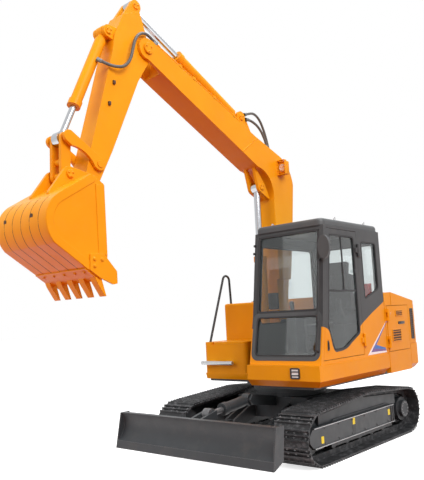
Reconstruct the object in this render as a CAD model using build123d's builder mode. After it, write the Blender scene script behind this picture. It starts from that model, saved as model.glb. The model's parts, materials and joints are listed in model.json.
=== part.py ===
from build123d import *
import os
from math import cos, hypot

os.makedirs("parts", exist_ok=True)

# Crawler excavator of about eight tonnes with a dozer blade, boom raised and bucket held out in front.
# Millimetres. X points forward, Y to the operator's left and Z up from the ground.
# Every piece is drawn about the slew axis and moved by STORED_X when it is written, so that the stored
# origin is on the ground under the middle of the whole machine.
STORED_X = -1050
PIN_CLEAR = 0.3
PANEL_GAP = 6

# Door hinges, with their pins outside the doors' faces
HINGE_OUT = 18
HINGE_PIN = 9
HINGE_KNUCKLE = 15
HINGE_KNUCKLE_HEIGHT = 60
HINGE_LUG_HEIGHT = 45
HINGE_LEAF = 60
HINGE_PLAY = 1
CAB_DOOR_HINGES = (1245, 2320)
SERVICE_DOOR_HINGES = (1180, 1520)

# Track and undercarriage
TRACK_GAUGE = 1750
SHOE_WIDTH = 450
SHOE_COUNT = 39
SHOE_PLATE = 9
RIDGES_PER_SHOE = 3
RIDGE_HEIGHT = 20
RIDGE_BASE = 24
RIDGE_TIP = 12
LINK_HALF_HEIGHT = 32
LINK_RAIL_INNER = 30
LINK_RAIL_WIDTH = 35
PITCH_RADIUS = 229
IDLER_X = 1085
SPROCKET_X = -1110
CARRIER_X = -56
CARRIER_RISE = 68
TRACK_REACH = LINK_HALF_HEIGHT + SHOE_PLATE + RIDGE_HEIGHT
AXLE_Z = PITCH_RADIUS + TRACK_REACH
RAIL_OUTER = LINK_RAIL_INNER + LINK_RAIL_WIDTH

FRAME_BEAM_WIDTH = 220
FRAME_PLATE = 14
FRAME_LOW = 240
FRAME_TOP = 420
FRAME_FRONT = 760
FRAME_REAR = -800
ROLLER_COUNT = 5
ROLLER_SPACING = 300
ROLLER_RADIUS = 66
ROLLER_AXLE = 28
IDLER_AXLE = 45
CARRIER_ROLLER_RADIUS = 50
FINAL_DRIVE_RADIUS = 150
HUB_OUT = 95

CENTRE_LENGTH = 860
CENTRE_WIDTH = 1040
CENTRE_LOW = 340
CENTRE_TOP = 600
LEG_LENGTH = 240
TOW_EYE_X = -505
TOW_EYE_Z = 400
TOW_EYE_RADIUS = 28
TOW_EYE_ROUND = 62
TOW_EYE_PLATE = 40
SLEW_RING_RADIUS = 470
SLEW_RING_LOW = 645
SLEW_RING_TOP = 756

# Blade
BLADE_HALF_WIDTH = 1120
BLADE_HINGE = (850, 300)
BLADE_ARM_Y = 330
BLADE_ARM_WIDTH = 90
BLADE_BOTTOM = (1993, 156)
BLADE_TOP = (1911, 546)
BLADE_BACK_DIP = 70
BLADE_PLATE = 22
BLADE_ROD_PIN = (1600, 545)
BLADE_BASE_PIN = (900, 620)
BLADE_BARREL_RADIUS = 62
BLADE_ROD_RADIUS = 32
BLADE_BARREL_LENGTH = 480
BLADE_ROD_LENGTH = 490

# Upper structure
DECK_LOW = SLEW_RING_TOP + PIN_CLEAR
DECK_TOP = 860
SKIRT_LOW = 790
SKIRT_CHAMFER = 74
SKIRT_TOP = 1030
SIDE_Y = 1070
CAB_BASE_FRONT = 1000
CAB_BASE_REAR = -650
CAB_BASE_RIGHT = 92
HOUSE_FRONT = -690
HOUSE_DOOR_REAR = -1330
HOUSE_REAR = -1600
HOUSE_REAR_BULGE = 90
HOUSE_WALL = 40
HOUSE_WALL_TOP = 1640
HOOD_FRONT = -850
HOOD_TOP = 1812
HOOD_SLOPE_END = (-1470, 1705)
HOOD_REAR_TOP = 1662
COUNTERWEIGHT_TOP = 1125
COUNTERWEIGHT_FRONT = -1336
COUNTERWEIGHT_STEP = 32
TANK_REAR = -640
TANK_FRONT = -10
TANK_LEFT = -340
TANK_TOP = 1780
TOOLBOX_FRONT = 450
TOOLBOX_TOP = 1270
TOOLBOX_LOW = 860
TOOLBOX_LID = 34
TOOLBOX_LID_RIGHT = -925
RIGHT_Y = -1066

# Cab
CAB_LEFT = 1062
CAB_RIGHT = 98
CAB_WALL = 45
CAB_REAR = -650
CAB_FRONT_LOW = (950, SKIRT_TOP)
CAB_FRONT_KNEE = (834, 1595)
CAB_FRONT_TOP = (692, 2585)
CAB_ROOF_TOP = 2668
CAB_ROOF_LAP = 12
CAB_FLOOR = 40
WINDOW_LOW = 1120
WINDOW_BAR = 46
WINDOW_TOP = 2535
WINDSHIELD_SIDE = 62
GLASS = 6
GLASS_SET_IN = 14
DOOR_LOW = 1072
DOOR_TOP = 2550
DOOR_REAR = -45
DOOR_FRONT_POST = 52
DOOR_FRAME = 62
DOOR_WINDOW_LOW = 1165
REAR_WINDOW_LOW = 1800
QUARTER_FRONT = -150
QUARTER_REAR = -545
QUARTER_LOW = 1720
QUARTER_TOP = 2440
SIDE_WINDOW_LOW = 1480

# Front attachment: pivots in the boom's plane, as (x, z)
BOOM_Y = -105
BOOM_WIDTH = 300
BOOM_FOOT_WIDTH = 228
BOOM_TIP_EAR = 32
BOOM_FOOT = (85, 1430)
BOOM_CYLINDER_BASE = (359, 1020)
BOOM_CYLINDER_EYE = (336, 3255)
BOOM_TIP = (2338, 4497)
ARM_CYLINDER_BASE = (690, 4110)
ARM_CYLINDER_EYE = (2430, 4970)
BUCKET_CYLINDER_BASE = (2818, 4565)
BUCKET_PIN = (3114, 2929)
SIDE_LINK_PIN = (3031, 3123)
ROD_EYE_PIN = (3380, 3338)
BUCKET_EAR_PIN = (3390, 2975)
ARM_WIDTH = 226
PIN_RADIUS = 35
BRACKET_PLATE = 38
BRACKET_GAP = 4

BOOM_BARREL_RADIUS = 75
BOOM_ROD_RADIUS = 42
BOOM_BARREL_LENGTH = 1330
BOOM_ROD_LENGTH = 1340
ARM_BARREL_RADIUS = 66
ARM_ROD_RADIUS = 36
ARM_BARREL_LENGTH = 1180
ARM_ROD_LENGTH = 1150
BUCKET_BARREL_RADIUS = 58
BUCKET_ROD_RADIUS = 32
BUCKET_BARREL_LENGTH = 960
BUCKET_ROD_LENGTH = 950
CYLINDER_EYE_WIDTH = 92
CYLINDER_NECK = 100
CYLINDER_NECK_RADIUS = 44

BUCKET_HALF_WIDTH = 390
BUCKET_SIDE = 22
BUCKET_SKIN = 18
TOOTH_COUNT = 5
TOOTH_SPAN = 697
TOOTH_WIDTH = 78
TOOTH_TIP_WIDTH = 48
BUCKET_EAR = 36
LINK_BAR = 38
SIDE_LINK_PLATE = 34


def side_plane(y):
    """Sketch plane across the machine at y, drawn as (x, z); extrusions run from y towards -Y."""
    return Plane.XZ.offset(-y)


def slab(points, y_high, width, radius=0, mode=Mode.ADD):
    """Plate with the side outline given, its left face at y_high."""
    with BuildSketch(side_plane(y_high)) as outline:
        with BuildLine():
            Polyline(*points, close=True)
        make_face()
        if radius:
            fillet(outline.vertices(), radius)
    extrude(outline.sketch, amount=width, mode=mode)


def cross_bar(centre, radius, y_high, width, mode=Mode.ADD):
    """Round bar, boss or bore across the machine, its left end at y_high."""
    with BuildSketch(side_plane(y_high)) as section:
        with Locations(centre):
            Circle(radius)
    extrude(section.sketch, amount=width, mode=mode)


def block(x_low, x_high, y_low, y_high, z_low, z_high, mode=Mode.ADD):
    """Rectangular block between two corners."""
    middle = ((x_low + x_high) / 2, (y_low + y_high) / 2, (z_low + z_high) / 2)
    with Locations(middle):
        Box(x_high - x_low, y_high - y_low, z_high - z_low, mode=mode)


def tangent_strap(first, first_radius, second, second_radius, y_high, width, mode=Mode.ADD):
    """Flat bar with two round ends, as of a link or an ear."""
    with BuildSketch(side_plane(y_high)) as strap:
        with Locations(first):
            Circle(first_radius)
        with Locations(second):
            Circle(second_radius)
        make_hull()
    extrude(strap.sketch, amount=width, mode=mode)


def upright(x, y, z_low, z_high, radius, mode=Mode.ADD):
    """Round post or bore between two heights."""
    with Locations((x, y, (z_low + z_high) / 2)):
        Cylinder(radius, z_high - z_low, mode=mode)


def hinge_knuckle(x, y, height, leaf_x, leaf_y):
    """Moving half of a hinge: a bored knuckle with a leaf on the door's face."""
    low = height - HINGE_KNUCKLE_HEIGHT / 2
    high = height + HINGE_KNUCKLE_HEIGHT / 2
    upright(x, y, low, high, HINGE_KNUCKLE)
    block(*leaf_x, *leaf_y, low, high)
    upright(x, y, low, high, HINGE_PIN + PIN_CLEAR, mode=Mode.SUBTRACT)


def hinge_lugs(x, y, height, strap_x, strap_y):
    """Fixed half of a hinge: two lugs on straps, with the pin through them."""
    reach = HINGE_KNUCKLE_HEIGHT / 2 + HINGE_PLAY + HINGE_LUG_HEIGHT
    for low in (height - reach, height + reach - HINGE_LUG_HEIGHT):
        upright(x, y, low, low + HINGE_LUG_HEIGHT, HINGE_KNUCKLE)
        block(*strap_x, *strap_y, low, low + HINGE_LUG_HEIGHT)
    upright(x, y, height - reach, height + reach, HINGE_PIN)


def between(start, end, share):
    """Point at a share of the way from start to end."""
    return (start[0] + (end[0] - start[0]) * share, start[1] + (end[1] - start[1]) * share)


def length_of(start, end):
    return hypot(end[0] - start[0], end[1] - start[1])


def arm_point(along, front):
    """Point given along the arm from its pivot and towards its front edge."""
    length = length_of(BOOM_TIP, BUCKET_PIN)
    ux = (BUCKET_PIN[0] - BOOM_TIP[0]) / length
    uz = (BUCKET_PIN[1] - BOOM_TIP[1]) / length
    return (BOOM_TIP[0] + ux * along - uz * front, BOOM_TIP[1] + uz * along + ux * front)


def write(builder, name):
    """Label a finished piece and write it at its stored place."""
    builder.part.label = name
    stored = builder.part.moved(Location((STORED_X, 0, 0)))
    stored.label = name
    export_step(stored, f"parts/{name}.step")


# Track: a loop of shoes on two link rails, with three ridges on every shoe
with BuildLine() as pitch_line:
    ground_run = Line((SPROCKET_X, TRACK_REACH), (IDLER_X, TRACK_REACH))
    front_turn = ThreePointArc(
        ground_run @ 1, (IDLER_X + PITCH_RADIUS, AXLE_Z), (IDLER_X, AXLE_Z + PITCH_RADIUS)
    )
    top_run = Polyline(
        front_turn @ 1,
        (CARRIER_X, AXLE_Z + PITCH_RADIUS + CARRIER_RISE),
        (SPROCKET_X, AXLE_Z + PITCH_RADIUS),
    )
    ThreePointArc(top_run @ 1, (SPROCKET_X - PITCH_RADIUS, AXLE_Z), ground_run @ 0)
pitch_wire = pitch_line.wire()
shoe_pitch = pitch_wire.length / SHOE_COUNT
link_pins = [
    pitch_wire.position_at(shoe_pitch * place, position_mode=PositionMode.LENGTH)
    for place in range(SHOE_COUNT)
]
loop_area = sum(
    here.X * after.Y - after.X * here.Y for here, after in zip(link_pins, link_pins[1:] + link_pins[:1])
)
if loop_area < 0:
    link_pins.reverse()
SPROCKET_HALF_TURN = shoe_pitch / (2 * PITCH_RADIUS)
WHEEL_TREAD = PITCH_RADIUS * cos(SPROCKET_HALF_TURN) - LINK_HALF_HEIGHT - PIN_CLEAR


def outward(start, end):
    """Unit vector out of the track loop, square to the run from start to end."""
    run = (end - start).normalized()
    return Vector(run.Y, -run.X)


def ring_points(distance):
    """Corners of the loop at a distance outside the line of link pins."""
    corners = []
    for place, pin in enumerate(link_pins):
        before = link_pins[place - 1]
        after = link_pins[(place + 1) % SHOE_COUNT]
        corner = (outward(before, pin) + outward(pin, after)).normalized()
        corners.append(pin + corner * distance)
    return corners


def shoe_outline():
    """Outer outline of all shoes with their ridges."""
    outline = []
    ridge = (
        (-RIDGE_BASE / 2, 0),
        (-RIDGE_TIP / 2, RIDGE_HEIGHT),
        (RIDGE_TIP / 2, RIDGE_HEIGHT),
        (RIDGE_BASE / 2, 0),
    )
    for place, pin in enumerate(link_pins):
        after = link_pins[(place + 1) % SHOE_COUNT]
        run = (after - pin).normalized()
        out = outward(pin, after)
        for number in range(RIDGES_PER_SHOE):
            middle = (after - pin).length * (number + 0.5) / RIDGES_PER_SHOE
            for step, height in ridge:
                outline.append(pin + run * (middle + step) + out * (LINK_HALF_HEIGHT + SHOE_PLATE + height))
    return outline


def loop(outer, inner, y_high, width):
    """Closed band between two outlines."""
    with BuildSketch(side_plane(y_high)) as band:
        with BuildLine():
            Polyline(*[(p.X, p.Y) for p in outer], close=True)
        make_face()
        with BuildLine():
            Polyline(*[(p.X, p.Y) for p in inner], close=True)
        make_face(mode=Mode.SUBTRACT)
    extrude(band.sketch, amount=width)


for name, side in (("left", 1), ("right", -1)):
    middle_y = side * TRACK_GAUGE / 2
    with BuildPart() as track:
        loop(shoe_outline(), ring_points(LINK_HALF_HEIGHT), middle_y + SHOE_WIDTH / 2, SHOE_WIDTH)
        for rail_y in (middle_y + RAIL_OUTER, middle_y - LINK_RAIL_INNER):
            loop(ring_points(LINK_HALF_HEIGHT), ring_points(-LINK_HALF_HEIGHT), rail_y, LINK_RAIL_WIDTH)
    write(track, f"track_{name}")

# Track frames: a box beam with side plates that hold the rollers, and a fork for the idler
ROLLER_Z = TRACK_REACH + LINK_HALF_HEIGHT + ROLLER_RADIUS + PIN_CLEAR
CARRIER_Z = AXLE_Z + PITCH_RADIUS + CARRIER_RISE - LINK_HALF_HEIGHT - CARRIER_ROLLER_RADIUS - 6
ROLLER_XS = [(place - (ROLLER_COUNT - 1) / 2) * ROLLER_SPACING for place in range(ROLLER_COUNT)]
BEAM_HALF = FRAME_BEAM_WIDTH / 2
for name, side in (("left", 1), ("right", -1)):
    middle_y = side * TRACK_GAUGE / 2
    with BuildPart() as track_frame:
        beam = [
            (FRAME_REAR, FRAME_LOW),
            (FRAME_FRONT, FRAME_LOW),
            (FRAME_FRONT, FRAME_TOP - 60),
            (FRAME_FRONT - 120, FRAME_TOP),
            (FRAME_REAR + 160, FRAME_TOP),
            (FRAME_REAR, FRAME_TOP - 80),
        ]
        slab(beam, middle_y + BEAM_HALF, FRAME_BEAM_WIDTH)
        for plate_y in (middle_y + BEAM_HALF, middle_y - BEAM_HALF + FRAME_PLATE):
            slab(
                [
                    (FRAME_REAR + 40, ROLLER_Z - ROLLER_AXLE),
                    (FRAME_FRONT - 40, ROLLER_Z - ROLLER_AXLE),
                    (FRAME_FRONT - 40, FRAME_LOW + FRAME_PLATE),
                    (FRAME_REAR + 40, FRAME_LOW + FRAME_PLATE),
                ],
                plate_y,
                FRAME_PLATE,
            )
            fork = [
                (FRAME_FRONT - 60, FRAME_LOW + 20),
                (IDLER_X + IDLER_AXLE, AXLE_Z - IDLER_AXLE - 22),
                (IDLER_X + IDLER_AXLE + 22, AXLE_Z),
                (IDLER_X + IDLER_AXLE, AXLE_Z + IDLER_AXLE + 22),
                (FRAME_FRONT - 60, FRAME_TOP - 50),
            ]
            slab(fork, plate_y, FRAME_PLATE)
            cross_bar((IDLER_X, AXLE_Z), IDLER_AXLE + PIN_CLEAR, plate_y, FRAME_PLATE, mode=Mode.SUBTRACT)
            for roller_x in ROLLER_XS:
                cross_bar((roller_x, ROLLER_Z), ROLLER_AXLE + PIN_CLEAR, plate_y, FRAME_PLATE, mode=Mode.SUBTRACT)
        inner_y = middle_y - side * (BEAM_HALF - FRAME_PLATE / 2)
        carrier_post = [
            (CARRIER_X - 55, FRAME_TOP - 5),
            (CARRIER_X + 55, FRAME_TOP - 5),
            (CARRIER_X + 34, CARRIER_Z + 30),
            (CARRIER_X - 34, CARRIER_Z + 30),
        ]
        slab(carrier_post, inner_y + FRAME_PLATE / 2, FRAME_PLATE)
        cross_bar(
            (CARRIER_X, CARRIER_Z),
            ROLLER_AXLE - 8 + PIN_CLEAR,
            inner_y + FRAME_PLATE / 2,
            FRAME_PLATE,
            mode=Mode.SUBTRACT,
        )
        drive_plate = [
            (FRAME_REAR + 60, FRAME_LOW),
            (FRAME_REAR + 60, FRAME_TOP - 60),
            (SPROCKET_X, AXLE_Z + FINAL_DRIVE_RADIUS),
            (SPROCKET_X - FINAL_DRIVE_RADIUS + 20, AXLE_Z),
            (SPROCKET_X, AXLE_Z - FINAL_DRIVE_RADIUS + 20),
        ]
        slab(drive_plate, inner_y + FRAME_PLATE / 2, FRAME_PLATE)
    write(track_frame, f"track_frame_{name}")

# Idlers, sprockets and rollers, left and right
with BuildPart() as idlers:
    for side in (1, -1):
        middle_y = side * TRACK_GAUGE / 2
        cross_bar((IDLER_X, AXLE_Z), WHEEL_TREAD, middle_y + RAIL_OUTER, 2 * RAIL_OUTER)
        cross_bar((IDLER_X, AXLE_Z), WHEEL_TREAD + 24, middle_y + LINK_RAIL_INNER - 3, 2 * LINK_RAIL_INNER - 6)
        cross_bar((IDLER_X, AXLE_Z), IDLER_AXLE, middle_y + BEAM_HALF, FRAME_BEAM_WIDTH)
write(idlers, "idlers")

with BuildPart() as sprockets:
    for side in (1, -1):
        middle_y = side * TRACK_GAUGE / 2
        cross_bar((SPROCKET_X, AXLE_Z), WHEEL_TREAD, middle_y + LINK_RAIL_INNER - 4, 2 * LINK_RAIL_INNER - 8)
        hub_in = BEAM_HALF - FRAME_PLATE
        hub_left = middle_y + (HUB_OUT if side > 0 else hub_in)
        cross_bar((SPROCKET_X, AXLE_Z), FINAL_DRIVE_RADIUS, hub_left, HUB_OUT + hub_in)
        cross_bar((SPROCKET_X, AXLE_Z), FINAL_DRIVE_RADIUS - 45, middle_y + side * 116 + 25, 50)
write(sprockets, "sprockets")

with BuildPart() as rollers:
    for side in (1, -1):
        middle_y = side * TRACK_GAUGE / 2
        for roller_x in ROLLER_XS:
            cross_bar((roller_x, ROLLER_Z), ROLLER_RADIUS, middle_y + RAIL_OUTER, 2 * RAIL_OUTER)
            cross_bar((roller_x, ROLLER_Z), ROLLER_AXLE, middle_y + BEAM_HALF, FRAME_BEAM_WIDTH)
        cross_bar((CARRIER_X, CARRIER_Z), CARRIER_ROLLER_RADIUS, middle_y + RAIL_OUTER, 2 * RAIL_OUTER)
        cross_bar(
            (CARRIER_X, CARRIER_Z), ROLLER_AXLE - 8, middle_y - side * 55 + BEAM_HALF / 2, FRAME_BEAM_WIDTH / 2
        )
write(rollers, "rollers")

# Centre frame: a box under the slew ring with four legs to the track frames and the blade's lugs
FRAME_INNER_Y = TRACK_GAUGE / 2 - BEAM_HALF
BLADE_LUG = 30
with BuildPart() as centre_frame:
    block(
        -CENTRE_LENGTH / 2, CENTRE_LENGTH / 2, -CENTRE_WIDTH / 2, CENTRE_WIDTH / 2, CENTRE_LOW, CENTRE_TOP
    )
    with Locations((0, 0, (CENTRE_TOP + SLEW_RING_LOW) / 2)):
        Cylinder(SLEW_RING_RADIUS - 30, SLEW_RING_LOW - CENTRE_TOP)
    for side in (1, -1):
        for end in (1, -1):
            leg_x = end * (CENTRE_LENGTH - LEG_LENGTH) / 2
            with BuildSketch(Plane.YZ.offset(leg_x - LEG_LENGTH / 2)):
                with BuildLine():
                    Polyline(
                        (side * (CENTRE_WIDTH / 2 - 40), CENTRE_LOW + 10),
                        (side * (CENTRE_WIDTH / 2 - 40), CENTRE_TOP - 20),
                        (side * FRAME_INNER_Y, FRAME_TOP - 5),
                        (side * FRAME_INNER_Y, FRAME_LOW + 10),
                        close=True,
                    )
                make_face()
            extrude(amount=LEG_LENGTH)
        for lug_y in (side * BLADE_ARM_Y + BLADE_ARM_WIDTH / 2 + BLADE_LUG + 3, side * BLADE_ARM_Y - BLADE_ARM_WIDTH / 2 - 3):
            slab(
                [
                    (CENTRE_LENGTH / 2 - 30, CENTRE_LOW),
                    (BLADE_HINGE[0], BLADE_HINGE[1] - 62),
                    (BLADE_HINGE[0] + 62, BLADE_HINGE[1]),
                    (BLADE_HINGE[0], BLADE_HINGE[1] + 62),
                    (CENTRE_LENGTH / 2 - 30, CENTRE_TOP - 60),
                ],
                lug_y,
                BLADE_LUG,
            )
        pin_low = side * BLADE_ARM_Y - BLADE_ARM_WIDTH / 2 - BLADE_LUG - 3
        cross_bar(BLADE_HINGE, PIN_RADIUS, pin_low + BLADE_ARM_WIDTH + 2 * BLADE_LUG + 6, BLADE_ARM_WIDTH + 2 * BLADE_LUG + 6)
        slab(
            [
                (CENTRE_LENGTH / 2 - 60, CENTRE_TOP - 120),
                (BLADE_BASE_PIN[0], BLADE_BASE_PIN[1] - 60),
                (BLADE_BASE_PIN[0] + 60, BLADE_BASE_PIN[1]),
                (BLADE_BASE_PIN[0], BLADE_BASE_PIN[1] + 60),
                (CENTRE_LENGTH / 2 - 60, CENTRE_TOP),
            ],
            side * (CYLINDER_EYE_WIDTH / 2 + 18) + 15,
            30,
        )
    cross_bar(BLADE_BASE_PIN, PIN_RADIUS, CYLINDER_EYE_WIDTH / 2 + 30, CYLINDER_EYE_WIDTH + 60)
    with BuildSketch(Plane.XY.offset(TOW_EYE_Z - TOW_EYE_PLATE / 2)):
        with Locations((TOW_EYE_X, 0)):
            Circle(TOW_EYE_ROUND)
        with GridLocations(0, 3 * TOW_EYE_ROUND, 1, 2):
            with Locations((-CENTRE_LENGTH / 2 + TOW_EYE_ROUND, 0)):
                Circle(TOW_EYE_ROUND / 2)
        make_hull()
        with Locations((TOW_EYE_X, 0)):
            Circle(TOW_EYE_RADIUS, mode=Mode.SUBTRACT)
    extrude(amount=TOW_EYE_PLATE)
write(centre_frame, "centre_frame")

with BuildPart() as slew_ring:
    with Locations((0, 0, (SLEW_RING_LOW + SLEW_RING_TOP) / 2)):
        Cylinder(SLEW_RING_RADIUS, SLEW_RING_TOP - SLEW_RING_LOW)
        Cylinder(SLEW_RING_RADIUS - 90, SLEW_RING_TOP - SLEW_RING_LOW, mode=Mode.SUBTRACT)
write(slew_ring, "slew_ring")

# Dozer blade: a curved mouldboard on two push arms
BLADE_HEIGHT = length_of(BLADE_BOTTOM, BLADE_TOP)
EDGE_HEIGHT = 88
EDGE_SHARE = EDGE_HEIGHT / BLADE_HEIGHT
EDGE_TOP = between(BLADE_BOTTOM, BLADE_TOP, EDGE_SHARE)
EDGE_BACK = (BLADE_BOTTOM[0] - 60, BLADE_BOTTOM[1] + 16)
with BuildPart() as dozer_blade:
    with BuildSketch(side_plane(BLADE_HALF_WIDTH)):
        with BuildLine():
            face_top = between(EDGE_TOP, BLADE_TOP, 1)
            hollow = between(EDGE_TOP, BLADE_TOP, 0.5)
            curve = ThreePointArc(EDGE_TOP, (hollow[0] - BLADE_BACK_DIP, hollow[1] - 8), face_top)
            Line(curve @ 1, (face_top[0] - 70, face_top[1]))
            ThreePointArc(
                (face_top[0] - 70, face_top[1]),
                (hollow[0] - BLADE_BACK_DIP - BLADE_PLATE * 2, hollow[1] - 12),
                EDGE_BACK,
            )
            Line(EDGE_BACK, EDGE_TOP)
        make_face()
    extrude(amount=2 * BLADE_HALF_WIDTH)
    back_x = hollow[0] - BLADE_BACK_DIP - BLADE_PLATE * 2
    for side in (1, -1):
        slab(
            [
                (BLADE_HINGE[0], BLADE_HINGE[1] + 58),
                (back_x + 40, BLADE_HINGE[1] + 90),
                (back_x + 40, BLADE_HINGE[1] - 70),
                (BLADE_HINGE[0], BLADE_HINGE[1] - 58),
            ],
            side * BLADE_ARM_Y + BLADE_ARM_WIDTH / 2,
            BLADE_ARM_WIDTH,
        )
        cross_bar(BLADE_HINGE, 58, side * BLADE_ARM_Y + BLADE_ARM_WIDTH / 2, BLADE_ARM_WIDTH)
        cross_bar(
            BLADE_HINGE, PIN_RADIUS + PIN_CLEAR, side * BLADE_ARM_Y + BLADE_ARM_WIDTH / 2, BLADE_ARM_WIDTH, mode=Mode.SUBTRACT
        )
        slab(
            [
                (back_x + 30, BLADE_ROD_PIN[1] - 130),
                (BLADE_ROD_PIN[0] - 45, BLADE_ROD_PIN[1] - 50),
                (BLADE_ROD_PIN[0] - 45, BLADE_ROD_PIN[1] + 50),
                (back_x + 30, BLADE_ROD_PIN[1] - 20),
            ],
            side * (CYLINDER_EYE_WIDTH / 2 + 21) + 15,
            30,
        )
        slab(
            [
                EDGE_TOP,
                BLADE_TOP,
                (BLADE_TOP[0] - 130, BLADE_TOP[1]),
                (EDGE_BACK[0] - 110, EDGE_BACK[1] + 50),
                EDGE_BACK,
            ],
            side * (BLADE_HALF_WIDTH - 8) + 8,
            16,
        )
write(dozer_blade, "dozer_blade")

with BuildPart() as blade_edge:
    slab(
        [
            BLADE_BOTTOM,
            EDGE_TOP,
            EDGE_BACK,
            (BLADE_BOTTOM[0] - 20, BLADE_BOTTOM[1]),
        ],
        BLADE_HALF_WIDTH,
        2 * BLADE_HALF_WIDTH,
    )
write(blade_edge, "blade_edge")


def barrel_of(base, eye, radius, bore, length, y):
    """Cylinder barrel from its base eye towards the rod's eye, with a gland at its mouth."""
    along = Vector(eye[0] - base[0], 0, eye[1] - base[1]).normalized()
    axis = Plane(origin=(base[0], y, base[1]), x_dir=(0, 1, 0), z_dir=along)
    with BuildPart() as barrel:
        cross_bar(base, PIN_RADIUS * 2, y + CYLINDER_EYE_WIDTH / 2, CYLINDER_EYE_WIDTH)
        with BuildSketch(axis.offset(PIN_RADIUS * 1.5)):
            Circle(CYLINDER_NECK_RADIUS)
        extrude(amount=CYLINDER_NECK)
        with BuildSketch(axis.offset(CYLINDER_NECK)):
            Circle(radius)
        extrude(amount=length - CYLINDER_NECK)
        with BuildSketch(axis.offset(length - 70)):
            Circle(radius + 9)
        extrude(amount=70)
        with BuildSketch(axis.offset(CYLINDER_NECK + 20)):
            Circle(bore + PIN_CLEAR)
        extrude(amount=length, mode=Mode.SUBTRACT)
        cross_bar(base, PIN_RADIUS + PIN_CLEAR, y + CYLINDER_EYE_WIDTH, CYLINDER_EYE_WIDTH * 2, mode=Mode.SUBTRACT)
    return barrel


def rod_of(base, eye, radius, length, y):
    """Cylinder rod with its eye, whose pin ends short of the ears that it works between."""
    along = Vector(base[0] - eye[0], 0, base[1] - eye[1]).normalized()
    axis = Plane(origin=(eye[0], y, eye[1]), x_dir=(0, 1, 0), z_dir=along)
    with BuildPart() as rod:
        cross_bar(eye, PIN_RADIUS * 2, y + CYLINDER_EYE_WIDTH / 2, CYLINDER_EYE_WIDTH)
        with BuildSketch(axis.offset(PIN_RADIUS)):
            Circle(radius)
        extrude(amount=length - PIN_RADIUS)
    return rod


write(
    barrel_of(BLADE_BASE_PIN, BLADE_ROD_PIN, BLADE_BARREL_RADIUS, BLADE_ROD_RADIUS, BLADE_BARREL_LENGTH, 0),
    "blade_cylinder_barrel",
)
write(rod_of(BLADE_BASE_PIN, BLADE_ROD_PIN, BLADE_ROD_RADIUS, BLADE_ROD_LENGTH, 0), "blade_cylinder_rod")
write(
    barrel_of(
        BOOM_CYLINDER_BASE, BOOM_CYLINDER_EYE, BOOM_BARREL_RADIUS, BOOM_ROD_RADIUS, BOOM_BARREL_LENGTH, BOOM_Y
    ),
    "boom_cylinder_barrel",
)
write(
    rod_of(BOOM_CYLINDER_BASE, BOOM_CYLINDER_EYE, BOOM_ROD_RADIUS, BOOM_ROD_LENGTH, BOOM_Y), "boom_cylinder_rod"
)
write(
    barrel_of(ARM_CYLINDER_BASE, ARM_CYLINDER_EYE, ARM_BARREL_RADIUS, ARM_ROD_RADIUS, ARM_BARREL_LENGTH, BOOM_Y),
    "arm_cylinder_barrel",
)
write(rod_of(ARM_CYLINDER_BASE, ARM_CYLINDER_EYE, ARM_ROD_RADIUS, ARM_ROD_LENGTH, BOOM_Y), "arm_cylinder_rod")
write(
    barrel_of(
        BUCKET_CYLINDER_BASE, ROD_EYE_PIN, BUCKET_BARREL_RADIUS, BUCKET_ROD_RADIUS, BUCKET_BARREL_LENGTH, BOOM_Y
    ),
    "bucket_cylinder_barrel",
)
write(
    rod_of(BUCKET_CYLINDER_BASE, ROD_EYE_PIN, BUCKET_ROD_RADIUS, BUCKET_ROD_LENGTH, BOOM_Y), "bucket_cylinder_rod"
)

# Boom: a cranked box beam with a fork at its tip
BOOM_LEFT = BOOM_Y + BOOM_WIDTH / 2
BOOM_FOOT_LEFT = BOOM_Y + BOOM_FOOT_WIDTH / 2
NECK_TOP = BOOM_FOOT[1] + 620
BOOM_BACK = [
    (BOOM_FOOT[0] - 85, BOOM_FOOT[1]),
    (-238, 2850),
    (-303, 3340),
]
BOOM_KNEE = (-215, 3560)
BOOM_TOP = [(10, 3715), (493, 3882), (1523, 4303)]
BOOM_TIP_TOP = (2290, 4612)
BOOM_BELLY = [(2380, 4400), (1867, 4150), (470, 3486)]
BOOM_CROTCH_MIDDLE = (228, 3352)
BOOM_CROTCH = (166, 3103)
BOOM_FRONT = [(162, 2850), (BOOM_FOOT[0] + 85, BOOM_FOOT[1])]


def boom_ear(points, y_high):
    """Ear plate round a pin, first of the points, with its foot between the other two."""
    with BuildSketch(side_plane(y_high)) as ear:
        with Locations(points[0]):
            Circle(78)
        with Locations(*points[1:]):
            Circle(12)
        make_hull()
    extrude(ear.sketch, amount=BRACKET_PLATE)


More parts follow.
